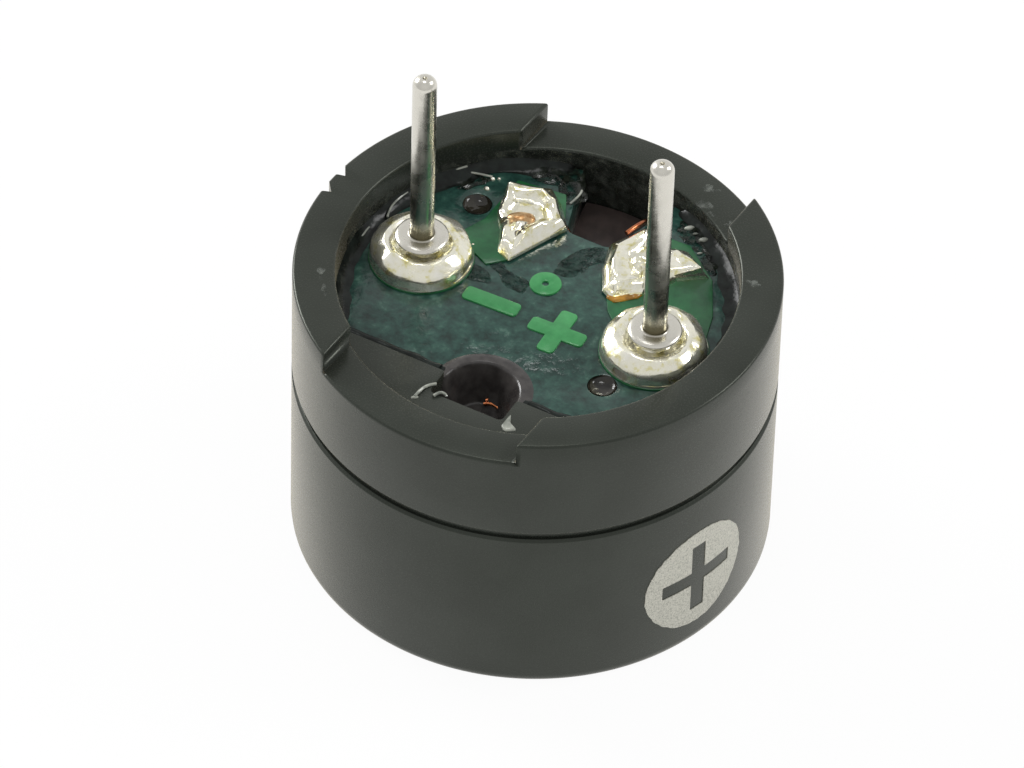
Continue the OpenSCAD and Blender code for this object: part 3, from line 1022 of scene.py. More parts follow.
@dataclass
class Housing:
    """The moulded front case and the rear base with its notched rim."""

    stack: Stack
    plastic: bpy.types.Material
    segments: int = 288
    port_r: float = 1.1
    port_round: float = 0.08
    front_t: float = 0.8
    front_round: float = 0.3
    ledge: float = 2.7
    chamber_r: float = 4.8
    chamber_round: float = 0.1
    socket_r: float = 5.4
    parting_round: float = 0.04
    spigot_r: float = 5.35
    spigot: float = 2.78
    relief_r: float = 4.9
    relief_h: float = 0.45
    bore_r: float = 4.3
    pocket_r: float = 4.95
    groove_t: float = 0.13
    groove_h: float = 0.25
    gap_back_w: float = 6.0
    gap_front_w: float = 5.5
    gap_turn: float = -3.7  # direction of the vent gaps in degrees
    warp_reach: float = 15.0  # degrees of the ring over which a step's shift dies away
    belt: float = 0.1  # height of the row of faces that ends the shading of the steps' bevels
    edge: float = 0.09
    nick_t: float = 0.25
    nick_w: float = 0.7
    nick_at: tuple[float, float] = (174.6, 181.2)
    land_gap: float = 0.1  # between the land and the board's straight edge
    land_bite: float = 0.05  # how far the land reaches into the wall
    land_edge: float = 0.05
    land_notch_l: float = 0.8
    land_mouth: float = 0.1
    land_corner: float = 0.15

    def case(self) -> None:
        """Turns the front cup."""
        s, lip = self.stack, self.groove_t / 2
        profile = rounded([
            (self.port_r, 0, self.port_round), (s.body_r, 0, self.front_round),
            (s.body_r, s.parting - lip, self.parting_round),
            (s.body_r - lip, s.parting, self.parting_round / 2), (self.socket_r, s.parting, 0),
            (self.socket_r, self.ledge, 0), (self.chamber_r, self.ledge, 0),
            (self.chamber_r, self.front_t, self.chamber_round),
            (self.port_r, self.front_t, self.port_round)])
        piece(spun(profile, self.segments), "front_case", self.plastic, ["case"])

    def ring(self) -> bmesh.types.BMesh:
        """Turns the base up to the floor of its vent gaps.

        Returns:
            The ring.
        """
        s = self.stack
        top, foot, relief = s.gap_floor, s.parting + self.groove_h, self.spigot + self.relief_h
        belt, groove_r = top - self.belt, s.body_r - self.groove_t
        return spun(rounded([
            (self.relief_r, self.spigot, 0), (self.spigot_r, self.spigot, 0),
            (self.spigot_r, s.parting, 0), (groove_r, s.parting, 0),
            (groove_r, foot - self.groove_t / 2, self.parting_round / 2),
            (s.body_r, foot, self.parting_round), (s.body_r, belt, 0), (s.body_r, top, 0),
            (self.pocket_r, top, 0), (self.pocket_r, belt, 0), (self.pocket_r, s.yoke, 0),
            (self.bore_r, s.yoke, 0), (self.bore_r, relief, 0), (self.relief_r, relief, 0)]),
            self.segments)

    def gap_half(self, turned_y: float) -> float:
        """Half the width of the vent gap on one side."""
        return (self.gap_back_w if turned_y > 0 else self.gap_front_w) / 2

    def square_steps(self, bm: bmesh.types.BMesh) -> None:
        """Shifts the ring's columns so that the four steps of the vent gaps are parallel.

        Args:
            bm: the ring.
        """
        turn, pitch = math.radians(self.gap_turn), 2 * math.pi / self.segments
        reach, middle_r = math.radians(self.warp_reach), (self.pocket_r + self.stack.body_r) / 2
        steps = []
        for back in (1, -1):
            for side in (1, -1):
                x = side * self.gap_half(back)
                at = turn + back * math.acos(x / middle_r)
                steps.append((round(at / pitch) * pitch, x, back))
        for vert in bm.verts:
            radius = math.hypot(vert.co.x, vert.co.y)
            if vert.co.z < self.stack.yoke or radius < self.pocket_r - NEAR:
                continue
            angle = math.atan2(vert.co.y, vert.co.x)
            for column, x, back in steps:
                off = abs((angle - column + math.pi) % (2 * math.pi) - math.pi)
                if off < reach:
                    wanted = turn + back * math.acos(x / radius)
                    angle += (wanted - column) * (1 - off / reach)
                    break
            vert.co.x, vert.co.y = radius * math.cos(angle), radius * math.sin(angle)

    def raise_arcs(self, bm: bmesh.types.BMesh) -> None:
        """Raises the rim between the vent gaps and rounds its edges.

        Args:
            bm: the ring.
        """
        turn, top = Matrix.Rotation(-math.radians(self.gap_turn), 3, "Z"), self.stack.gap_floor

        def raised(face: bmesh.types.BMFace) -> bool:
            """Tells whether a face of the ring's top lies beyond the gaps.

            Args:
                face: the face.

            Returns:
                Whether it does.
            """
            middle = turn @ face.calc_center_median()
            return (face.normal.z > UPWARD and abs(middle.z - top) < NEAR
                    and abs(middle.x) > self.gap_half(middle.y))

        bm.normal_update()
        grown = bmesh.ops.extrude_face_region(bm, geom=[f for f in bm.faces if raised(f)])
        bmesh.ops.translate(bm, vec=(0, 0, self.stack.gap_t), verts=new_verts(grown["geom"]))
        bmesh.ops.recalc_face_normals(bm, faces=bm.faces)
        soften(bm, self.edge, 3, lambda edge: lowest(edge) > top - NEAR)

    def nick(self, at: float) -> bmesh.types.BMesh:
        """Makes the wedge that cuts one gate nick.

        Args:
            at: its direction in degrees.

        Returns:
            The cutter.
        """
        bm = slab([(-self.nick_t, 0), (self.nick_t, -self.nick_w), (self.nick_t, self.nick_w / 4)],
                  self.stack.gap_floor, self.stack.rim + 1)
        bmesh.ops.translate(bm, verts=bm.verts, vec=(self.stack.body_r, 0, 0))
        bmesh.ops.rotate(bm, verts=bm.verts, matrix=Matrix.Rotation(math.radians(at), 3, "Z"))
        return bm

    def land(self) -> bmesh.types.BMesh:
        """Makes the keying land beside the board's straight edge.

        Returns:
            The land.
        """
        s = self.stack
        edge, radius = s.flat_y + self.land_gap, self.pocket_r + self.land_bite
        start = 180 + math.degrees(math.asin(edge / radius))
        left, right = s.notch[0] - s.notch_r, s.notch[0] + s.notch_r
        deep, half = edge + self.land_notch_l, radius * math.cos(math.radians(start))
        notch = rounded([(-half, -edge, 0), (right, -edge, self.land_mouth),
                         (right, -deep, self.land_corner), (left, -deep, self.land_corner),
                         (left, -edge, self.land_mouth), (half, -edge, 0)])
        outline = [*arc((0, 0), radius, start, 540 - start, 64), *notch[1:-1]]
        bm = slab(outline, s.yoke, s.land)
        soften(bm, self.land_edge, 2, lambda edge: lowest(edge) > s.top)
        return bm

    def base(self) -> None:
        """Builds the rear body."""
        bm = self.ring()
        self.square_steps(bm)
        self.raise_arcs(bm)
        bm = combined(bm, [self.nick(at) for at in self.nick_at], Cut.AWAY)
        bm = combined(bm, [self.land()], Cut.JOIN)
        piece(bm, "rear_base", self.plastic, ["base"])

    def build(self) -> None:
        """Builds both mouldings."""
        self.case()
        self.base()


@dataclass
class Print:
    """The pale printed disc with an open plus sign on the case's wall."""

    stack: Stack
    ink: bpy.types.Material
    radius: float = 1.6
    arm_l: float = 2.2  # length of the plus sign's arms, from end to end
    arm_w: float = 0.44
    arm_round: float = 0.04
    middle_z: float = 2.3
    at: float = -18.7  # its direction in degrees
    thickness: float = 0.02
    ragged: float = 0.03  # how far its edge strays
    teeth: float = 6.0  # waves of the edge in a millimetre
    slice_w: float = 0.12  # width of the strips that bend round the wall

    def build(self) -> None:
        """Builds it flat and lays it round the wall."""
        ring = [Vector(p).to_3d() for p in circle((0, 0), self.radius - self.ragged, 160)]
        outline = [(p + p.normalized() * self.ragged * mnoise.noise(p * self.teeth)).to_2d()
                   for p in ring]
        half, w, fillet = self.arm_l / 2, self.arm_w / 2, self.arm_round
        plus = rounded([(w, w, 0), (half, w, fillet), (half, -w, fillet), (w, -w, 0),
                        (w, -half, fillet), (-w, -half, fillet), (-w, -w, 0), (-half, -w, fillet),
                        (-half, w, fillet), (-w, w, 0), (-w, half, fillet), (w, half, fillet)], 3)
        bm = slab([tuple(p) for p in outline], 0, self.thickness, [plus])
        strips = int(self.radius / self.slice_w)
        for i in range(-strips, strips + 1):
            bmesh.ops.bisect_plane(bm, geom=bm.verts[:] + bm.edges[:] + bm.faces[:],
                                   plane_co=(i * self.slice_w, 0, 0), plane_no=(1, 0, 0))
        start = math.radians(self.at)
        for vert in bm.verts:
            across, up, out = vert.co
            angle, radius = start + math.asin(across / self.stack.body_r), self.stack.body_r + out
            vert.co = (radius * math.cos(angle), radius * math.sin(angle), self.middle_z + up)
        bmesh.ops.recalc_face_normals(bm, faces=bm.faces)
        piece(bm, "polarity_disc", self.ink, ["polarity_print"])


@dataclass
class Board:
    """The laminate with its masked copper."""

    stack: Stack
    laminate: bpy.types.Material
    copper: bpy.types.Material
    mark: bpy.types.Material
    lead_w: float = 1.2
    lead_flare: float = 0.75  # how much wider the lead notch is on each side at its mouth
    lead_y: float = 2.6
    lead_corner: float = 0.3
    locate_r: float = 0.36
    pin_hole_r: float = 0.4
    edge: float = 0.03
    copper_edge: float = 0.03

    def outline(self) -> list[tuple[float, float]]:
        """The board's outline with its straight edge and two notches.

        Returns:
            Its points as pairs.
        """
        s, radius, flat = self.stack, self.stack.board_r, self.stack.flat_y
        half, lean = self.lead_w / 2, self.lead_flare / (radius - self.lead_y)
        low = -math.degrees(math.asin(flat / radius))
        mouth = half + lean * (math.sqrt(radius ** 2 - (half + self.lead_flare) ** 2) - self.lead_y)
        to_right = math.degrees(math.acos(mouth / radius))
        lip = math.degrees(math.asin((-s.notch[1] - flat) / s.notch_r))
        fillet = self.lead_corner
        straight = (half + lean * fillet * 2, self.lead_y + fillet * 2)
        notch = rounded([(*straight, 0), (half, self.lead_y, fillet), (-half, self.lead_y, fillet),
                         (-straight[0], straight[1], 0)])
        return [*arc((0, 0), radius, low, to_right, 80), *notch,
                *arc((0, 0), radius, 180 - to_right, 180 - low, 96),
                *arc(s.notch, s.notch_r, 180 - lip, lip, 32)]

    def build(self) -> None:
        """Builds the laminate, the copper areas and the marks."""
        s = self.stack
        holes = [circle(at, self.locate_r, 40) for at in s.locate_at]
        holes += [circle((side * s.pin_x, 0), self.pin_hole_r, 40) for side in (-1, 1)]
        bm = slab(self.outline(), s.board, s.top, holes)
        soften(bm, self.edge, 2)
        piece(bm, "masked_board", self.laminate, ["circuit_board"])
        areas = [("track_minus", self.copper), ("track_plus", self.copper),
                 ("board_mark_minus", self.mark), ("board_mark_plus", self.mark),
                 ("test_pad", self.mark)]
        for node, finish in areas:
            bm = solid(node)
            soften(bm, self.copper_edge, 2, lambda edge: lowest(edge) > s.copper - NEAR)
            piece(bm, "masked_" + node, finish, [node])


@dataclass
class Pin:
    """One tinned pin with its collar, and the solder under it."""

    stack: Stack
    pole: Pole
    x: float
    metal: bpy.types.Material
    solder: bpy.types.Material
    solder_r: float
    seed: float  # shifts the solder's lumps
    shank_r: float = 0.3
    root_round: float = 0.08
    root_h: float = 0.4  # above the collar's middle, where the straight shank starts
    foot_r: float = 0.27
    neck_r: float = 0.33  # between the board and the collar
    collar_r: float = 0.675
    ring_r: float = 0.48  # middle of the collar's rounded edge
    tip_round: float = 0.24
    dimple_r: float = 0.07
    dimple_t: float = 0.11
    segments: int = 64
    bore_r: float = 0.37  # of the solder, round the pin
    moat_r: tuple[float, float] = (0.5, 0.74)  # of the dip in the solder under the collar
    moat_h: float = 0.42  # height of its floor
    flank_h: float = 0.36  # up to here the solder's side is steep
    flank_in: float = 0.06  # how far in the side leans on its way there
    crest_in: float = 0.42  # how far in the crest stands
    still_h: float = 0.05  # up to here the solder's foot is even

    def shank(self) -> None:
        """Turns the pin."""
        s, (low, high) = self.stack, span(f"pin_{self.pole.value}")
        middle, under = s.collar_top - s.collar_t / 2, s.collar_top - s.collar_t
        half_w, half_t = self.collar_r - self.ring_r, s.collar_t / 2
        collar = [(self.ring_r + half_w * u, middle + half_t * v)
                  for u, v in arc((0, 0), 1, -90, 90, 12)]
        root = rounded([(self.ring_r, s.collar_top, 0), (self.shank_r, s.collar_top, self.root_round),
                        (self.shank_r, middle + self.root_h, 0)])
        tip = arc((self.shank_r - self.tip_round, high.z - self.tip_round), self.tip_round, 0, 90, 8)
        dimple = [(self.dimple_r, high.z - 0.005), (self.dimple_r * 0.6, high.z - self.dimple_t * 0.8),
                  (0, high.z - self.dimple_t)]
        profile = [(0, low.z), (self.foot_r, low.z), (self.neck_r, s.top), (self.neck_r, under),
                   *collar, *root[1:], *tip, *dimple]
        piece(spun(profile, self.segments, (self.x, 0), False), f"tinned_pin_{self.pole.value}",
              self.metal, [f"pin_{self.pole.value}"])

    def mound(self) -> None:
        """Turns the solder, with a dip for the collar, and gives it hand-made lumps."""
        z, r, (moat_in, moat_out) = self.stack.copper, self.solder_r, self.moat_r
        still, top, floor = z + self.still_h, z + self.stack.mound_h, z + self.moat_h
        profile = rounded([
            (self.bore_r, z, 0), (r, z, 0.01), (r - 0.02, still, 0.02),
            (r - self.flank_in, z + self.flank_h, 0.3), (r - self.crest_in, top, 0.3),
            (moat_out, top - 0.08, 0.08), (moat_out - 0.08, floor, 0.04), (moat_in, floor, 0.04),
            (self.bore_r, floor + 0.08, 0)])
        bm = spun(profile, 96, (self.x, 0))
        for size, depth in ((0.7, 0.07), (0.2, 0.014)):
            wobble(bm, size, depth, self.seed, still)
        piece(bm, f"solder_mound_{self.pole.value}", self.solder,
              [f"solder_{self.pole.value}"])

    def build(self) -> None:
        """Builds the pin and its solder."""
        self.shank()
        self.mound()


@dataclass
class CoilEnds:
    """The coil's two leads and the solder lumps over their ends."""

    stack: Stack
    wire: bpy.types.Material
    solder: bpy.types.Material
    flux: bpy.types.Material
    wire_r: float = 0.065
    half_w: float = 0.3  # from the middle to each lead, where they leave the winding
    leave_y: float = 2.35
    height: float = 0.31
    full_h: float = 0.2  # height from which the marks of the iron have their full depth
    soft_angle: float = 75.0  # degrees a joint's surface may turn and still look smooth
    crown_minus: tuple[float, float] = (-1.65, 2.35)
    crown_plus: tuple[float, float] = (1.65, 2.3)
    tail: Spot = Spot(-1.7, 2.24, 0.36, 0.2, 27.0)  # the wire's end, bare on the left joint
    tail_h: float = 0.16

    def lead(self, pole: Pole, way: list[tuple[float, float, float]]) -> None:
        """Sweeps one lead through its four points. Their heights count from the board's underside."""
        bm = tube(bezier(way, self.stack.board, 32), self.wire_r)
        piece(bm, f"coil_lead_{pole.value}", self.wire, [f"lead_wire_{pole.value}"])

    def joint(self, pole: Pole, outline: list[tuple[float, float, float]],
              crown: tuple[float, float], strokes: Iterable[Stroke], seed: float) -> None:
        """Heaps up one joint and works the marks of the iron into it.

        Args:
            pole: which of the two.
            outline: corners of its foot, with their rounding.
            crown: its top.
            strokes: the marks.
            seed: shifts its small unevenness.
        """
        z = self.stack.copper
        bm = lump(rounded(outline, 9), crown, z, self.height, 0.45)
        sculpt(bm, strokes, z, self.full_h)
        for size, depth in ((0.22, 0.035), (0.09, 0.012)):
            wobble(bm, size, depth, seed, z + 0.02)
        piece(bm, f"coil_solder_{pole.value}", self.solder,
              [f"coil_joint_{pole.value}"], math.radians(self.soft_angle))

    def minus(self) -> None:
        """Builds the left joint, a heap with a ridge behind and the wire's end in its hollow."""
        outline = [(-2.65, 3.2, 0.1), (-1.55, 3.62, 0.1), (-1.12, 3.3, 0.1), (-0.56, 2.6, 0.05),
                   (-0.8, 2.1, 0.3), (-1.05, 1.5, 0.3), (-1.3, 0.9, 0.05), (-1.72, 1.08, 0.1),
                   (-2.02, 1.75, 0.3), (-2.35, 2.2, 0.2), (-2.5, 2.75, 0.3)]
        strokes = [Stroke((-2.45, 3.0), (-1.9, 3.22), 0.12, 0.17),
                   Stroke((-1.9, 3.22), (-1.3, 3.08), 0.12, 0.17),
                   Stroke((-2.1, 2.75), (-1.4, 2.85), 0.1, -0.1),
                   Stroke((-1.98, 2.18), (-1.42, 2.44), 0.22, -0.2),
                   Stroke((-1.35, 1.35), (-1.18, 1.95), 0.09, 0.16),
                   Stroke((-1.15, 2.05), (-0.75, 2.52), 0.09, 0.14),
                   Stroke((-1.62, 1.85), (-1.48, 1.3), 0.08, -0.18),
                   Stroke((-1.85, 1.9), (-1.75, 1.4), 0.07, 0.08),
                   Stroke((-1.15, 2.95), (-0.98, 2.62), 0.05, 0.1),
                   Stroke((-1.3, 2.85), (-1.12, 2.5), 0.05, -0.1)]
        self.joint(Pole.MINUS, outline, self.crown_minus, strokes, 1.7)
        oval = self.tail.heap(self.stack.copper + self.tail_h, 0.1, 40, 10)
        wobble(oval, 0.2, 0.02, 3.0)
        piece(oval, "bared_wire_end", TINNED_COPPER.material())

    def plus(self) -> None:
        """Builds the right joint, drawn out to a point on its right."""
        outline = [(0.58, 2.62, 0.08), (1.12, 3.62, 0.08), (1.95, 3.25, 0.2), (2.45, 3.34, 0.1),
                   (3.26, 2.85, 0.03), (2.6, 2.35, 0.2), (2.35, 1.9, 0.2), (2.1, 1.5, 0.1),
                   (1.5, 0.98, 0.1), (1.18, 1.15, 0.1), (0.82, 1.8, 0.3)]
        strokes = [Stroke((1.3, 3.25), (1.65, 2.65), 0.13, 0.16),
                   Stroke((1.65, 2.65), (1.3, 2.45), 0.08, 0.08),
                   Stroke((0.95, 2.2), (1.25, 1.5), 0.09, 0.13),
                   Stroke((1.3, 2.3), (1.55, 2.1), 0.1, -0.12),
                   Stroke((1.75, 2.1), (1.78, 1.9), 0.12, -0.28),
                   Stroke((1.5, 1.3), (1.95, 1.6), 0.08, 0.1),
                   Stroke((1.95, 2.75), (2.15, 3.15), 0.07, -0.18),
                   Stroke((2.3, 2.98), (3.0, 2.8), 0.12, 0.16)]
        self.joint(Pole.PLUS, outline, self.crown_plus, strokes, 5.2)
        toe = lump(rounded([(1.3, 1.25, 0.04), (1.38, 0.98, 0.06), (1.62, 0.94, 0.06),
                            (1.85, 1.14, 0.06), (2.1, 1.38, 0.06), (2.1, 1.6, 0.05),
                            (1.6, 1.25, 0.05)]), (1.6, 1.1), self.stack.copper, 0.09, 0.5, 8)
        wobble(toe, 0.15, 0.04, 2.0)
        piece(toe, "flux_toe_plus", self.flux)

    def build(self) -> None:
        """Builds both ends."""
        d, x = self.wire_r * 2, self.half_w
        low, y = self.stack.yoke - self.stack.board + d, self.leave_y + d
        self.lead(Pole.MINUS, [(-x, y, low), (-0.4, 2.8, low + 0.5), (-0.6, 2.75, 0.95),
                               (-1.0, 2.7, 0.95)])
        self.lead(Pole.PLUS, [(x, y, low), (0.9, 4.7, low + 0.5), (1.2, 4.1, 1.25),
                              (0.85, 3.0, 1.1)])
        self.minus()
        self.plus()


@dataclass
class Seal:
    """The epoxy: the bead at the board's edge, the pools in the notches, and what dripped. Parts of
    it also carry painted shade, painted light and painted highlights.
    """

    stack: Stack
    solder: bpy.types.Material
    wire: bpy.types.Material
    wall_r: float = 4.945
    bead_w: float = 0.38
    bead_h: float = 0.2
    lead_half: float = 17.8  # degrees between the bead's end and the lead notch's middle
    flat_half: float = 49.0  # degrees between its other end and the straight edge's middle
    taper: float = 9.0  # degrees over which each end of the bead runs out
    swell_r: float = 4.0  # radius of the circle on which the bead's unevenness is read
    # How fast and how far the bead's width strays, in slow swells and in quicker ones
    swell: tuple[tuple[float, float], ...] = ((0.9, 0.55), (2.7, 0.25))
    rise: tuple[float, float] = (1.3, 0.6)  # how fast and how far its height strays
    calm_at: float = 25.0  # direction in degrees where the bead is flattest, so as not to glare
    calm: float = 0.5  # share of its height that it loses there
    pad_room: float = 0.34  # the bead's width beside the pins
    pad_side: float = 0.2  # sine of the angle up to which that holds
    pool_z: float = 6.1
    pool_far: float = 4.88  # how far out the lead notch's pool reaches
    pool_half: float = 0.78  # half its width
    pool_near: float = 2.42  # where it starts
    pool_ends: tuple[float, float] = (104.0, 76.0)  # degrees between which it meets the wall
    locate_r: float = 0.355
    fill_deep: float = 0.29  # how far the fills of the locating holes reach down
    fill_low: float = 0.1  # how far the fill's middle stands below the board
    lip: float = 0.3
    lip_h: float = 0.045
    lip_steep: float = 1.6  # how much sooner than over its whole width the lip is at its height
    land_y: float = -4.48
    land_from: float = 0.1  # how far before the notch's middle the lining starts to level
    land_run: float = 0.35  # how far it takes to be level
    land_h: float = 0.1  # its height there above the pool
    wall_run: float = 0.34  # how far in the lining's wall reaches on its way down
    wide_run: float = 0.28  # how much further it does on the side where it is widest
    wide_at: float = 37.0  # direction of that side in degrees
    lining_t: float = 0.01
    ring_step: float = 0.03  # how much each of the lining's rings closes in
    rings: int = 28
    eye: tuple[float, float] = (0.23, -2.69)  # where the winding shows through
    strand_r: float = 0.05
    seam_deep: float = 0.3
    seam_h: float = 0.06
    seam_y: tuple[float, float] = (0.12, -0.1)  # how far it reaches over the board and the land
    seam_edge: float = 0.05
    thread_r: float = 0.028
    thick_thread_r: float = 0.04
    roll_r: float = 0.14
    film_t: float = 0.012  # thickness of the wall films and the smudges
    film_up: tuple[float, float] = (0.05, 0.5)  # where a wall film starts and ends above the board
    # the bead's, seam's and rolls' epoxy, whose near-black colour is partly painted shade
    edge: bpy.types.Material = field(init=False)
    # the smears' dark film, which is partly painted shade near the back wall
    film: bpy.types.Material = field(init=False)
    # the threads' and drops' finish, whose pale colour is a painted highlight
    pale: bpy.types.Material = field(init=False)

    def __post_init__(self) -> None:
        """Mixes its own finishes."""
        self.edge, self.film = EPOXY_EDGE_AND_SHADE.material(), EPOXY_FILM_AND_SHADE.material()
        self.pale = EPOXY_PALE_GLINT.material()

    def bead_run(self, right: bool) -> bmesh.types.BMesh:
        """Spins one half of the bead, still even.

        Args:
            right: whether it is the half right of the lead notch.

        Returns:
            The half.
        """
        top, start = self.stack.top, self.flat_half - 90 if right else 90 + self.lead_half
        curve = [(self.wall_r - self.bead_w * (1 - k / 9), top + self.bead_h * (k / 9) ** 2)
                 for k in range(10)]
        bm = bmesh.new()
        verts = [bm.verts.new((r, 0, z)) for r, z in [*curve, (self.wall_r, top)]]
        bmesh.ops.rotate(bm, verts=verts, matrix=Matrix.Rotation(math.radians(start), 3, "Z"))
        face = bm.faces.new(verts)
        bmesh.ops.spin(bm, geom=[face, *face.edges, *verts], cent=(0, 0, 0), axis=(0, 0, 1),
                       angle=math.radians(180 - self.flat_half - self.lead_half), steps=220,
                       use_merge=False, use_duplicate=False)
        return bm

    def bead_shares(self, angle: float) -> tuple[float, float]:
        """Works out how wide and tall the bead is at one place.

        Args:
            angle: the place's direction in radians.

        Returns:
            Its width and its height, as shares of the even bead's.
        """
        near = Vector((math.cos(angle), math.sin(angle), 0)) * self.swell_r
        wide = 1 + sum(far * mnoise.noise(near * fast) for fast, far in self.swell)
        if abs(math.sin(angle)) < self.pad_side:
            wide = min(wide, self.pad_room / self.bead_w)
        fast, far = self.rise
        tall = 1 + far * mnoise.noise(near * fast + Vector((9, 0, 0)))
        tall *= 1 - self.calm * max(math.cos(angle - math.radians(self.calm_at)), 0) ** 4
        off = abs(math.degrees(angle) - 90)
        off = 360 - off if off > 180 else off
        ends = min(off - self.lead_half, 180 - self.flat_half - off) / self.taper
        share = math.sqrt(clamped(ends))
        return wide * (0.3 + 0.7 * share), tall * share

    def bead(self) -> None:
        """Runs the uneven bead round both sides of the board."""
        top = self.stack.top
        bm = gathered([self.bead_run(right) for right in (False, True)])
        bmesh.ops.remove_doubles(bm, verts=bm.verts, dist=WELD_SOLID)
        for vert in bm.verts:
            angle, radius = math.atan2(vert.co.y, vert.co.x), vert.co.to_2d().length
            wide, tall = self.bead_shares(angle)
            radius = self.wall_r - (self.wall_r - radius) * wide
            vert.co = (radius * math.cos(angle), radius * math.sin(angle),
                       top + (vert.co.z - top) * tall)
        bmesh.ops.recalc_face_normals(bm, faces=bm.faces)
        # painted shade: the bead's near-black epoxy also darkens the board by the wall, where shade
        # falls
        piece(bm, "epoxy_bead", self.edge, ["edge_resin"])

    def pools(self) -> None:
        """Fills the lead notch below the board and the two locating holes."""
        half, near = self.pool_half, self.pool_near
        outline = [*arc((0, 0), self.pool_far, *self.pool_ends, 12), (half, near), (-half, near)]
        bm = slab(outline, self.stack.yoke + 0.02, self.pool_z)
        piece(bm, "lead_notch_pool", EPOXY_DEEP.material())
        low, r = self.stack.top - self.fill_deep, self.locate_r
        high = self.stack.top - self.fill_low
        bowl = [(0, high - 0.02), (r * 0.55, high - 0.01), (r * 0.8, high + 0.02),
                (r * 0.94, high + 0.06), (r, high + 0.1), (r, low), (0, low)]
        fills = []
        for x, y in self.stack.locate_at:
            bm = spun(bowl, 40, (x, y), False)
            wobble(bm, 0.25, 0.015, x)
            fills.append(bm)
        piece(gathered(fills), "locating_fills", EPOXY_FILL.material())

    def lining_height(self, across: float, along: float) -> float:
        """Works out how high the front notch's lining stands.

        It is a low lip round the notch, a smooth wall down to the pool, and a level run on the
        side of the land.

        Args:
            across: how far right of the notch's middle.
            along: how far behind the notch's middle.

        Returns:
            The height.
        """
        top, notch_r = self.stack.top, self.stack.notch_r
        out = math.hypot(across, along)
        wide = max(math.cos(math.atan2(along, across) - math.radians(self.wide_at)), 0)
        run = self.wall_run + self.wide_run * wide ** 2
        inward = clamped((notch_r - NEAR - out) / run)
        climb = clamped((notch_r + self.lip - out) / self.lip * self.lip_steep)
        crest = self.lip_h * math.sin(math.pi / 2 * climb)
        fall = (self.pool_z - top) * inward ** 2 * (3 - 2 * inward)
        front = clamped((-self.land_from - along) / self.land_run)
        back = top + crest * (1 - inward) - self.lining_t * (1 - front) + fall
        return back * (1 - front) + min(top + fall, self.pool_z + self.land_h) * front

    def notch_lining(self) -> None:
        """Lines the front notch: a lip on the board and a steep wall, closed at the eye."""
        (x, y), notch_r = self.stack.notch, self.stack.notch_r
        side, bend = notch_r - 0.03, y - 0.45
        outline = [*arc((x, y), notch_r + self.lip, -12, 192, 48), (x - side, bend),
                   (x - side, self.land_y), (x + side, self.land_y), (x + side, bend)]
        bm = bmesh.new()
        edges = list(bm.faces.new([bm.verts.new((u, v, 0)) for u, v in outline]).edges)
        bmesh.ops.delete(bm, geom=bm.faces[:], context="FACES_ONLY")
        middle, scale = Vector((*self.eye, 0)), 1.0
        for k in range(1, self.rings + 1):
            wanted = 1 - self.ring_step * k
            _, edges = drawn_in(bm, edges, middle, wanted / scale)
            scale = wanted
        for vert in bm.verts:
            vert.co.z = self.lining_height(vert.co.x - x, vert.co.y - y)
        bmesh.ops.contextual_create(bm, geom=edges)
        bmesh.ops.recalc_face_normals(bm, faces=bm.faces)
        bmesh.ops.solidify(bm, geom=bm.faces[:], thickness=self.lining_t)
        # painted shade: the dark lining closes the hole and stands for the shade in its depth
        piece(bm, "front_notch_lining_and_painted_shade", EPOXY_LINING_AND_SHADE.material())

    def glimpse(self) -> None:
        """Lays the two strands of the winding that show at the eye."""
        strands = []
        for k in range(2):
            u, v = self.eye[0] - 0.16, self.eye[1] + 0.1 * k
            way = [(u, v - 0.1, 0), (u + 0.12, v, 0.02), (u + 0.26, v, 0.02), (u + 0.4, v - 0.06, 0)]
            strands.append(tube(bezier(way, self.pool_z + 0.08 + 0.03 * k, 10), self.strand_r, 10))
        piece(gathered(strands), "winding_glimpse", self.wire)

    def seam(self) -> None:
        """Closes the slit between the board's straight edge and the land on both sides."""
        s, (x, _), parts = self.stack, self.stack.notch, []
        reach, skirt = math.sqrt(self.wall_r ** 2 - s.flat_y ** 2) - 0.05, s.notch_r + 0.1
        back, front = (-s.flat_y + way for way in self.seam_y)
        for left, right in ((-reach, x - skirt), (x + skirt, reach)):
            corners = ((left, back), (right, back), (right, front), (left, front))
            bm = slab(rounded([(u, v, 0.04) for u, v in corners]), s.top - self.seam_deep,
                      s.top + self.seam_h)
            soften(bm, self.seam_edge, 3)
            parts.append(bm)
        # painted shade: the dark epoxy over the slit stands partly for the slit's shade
        piece(gathered(parts), "seam_epoxy_and_painted_shade", self.edge)

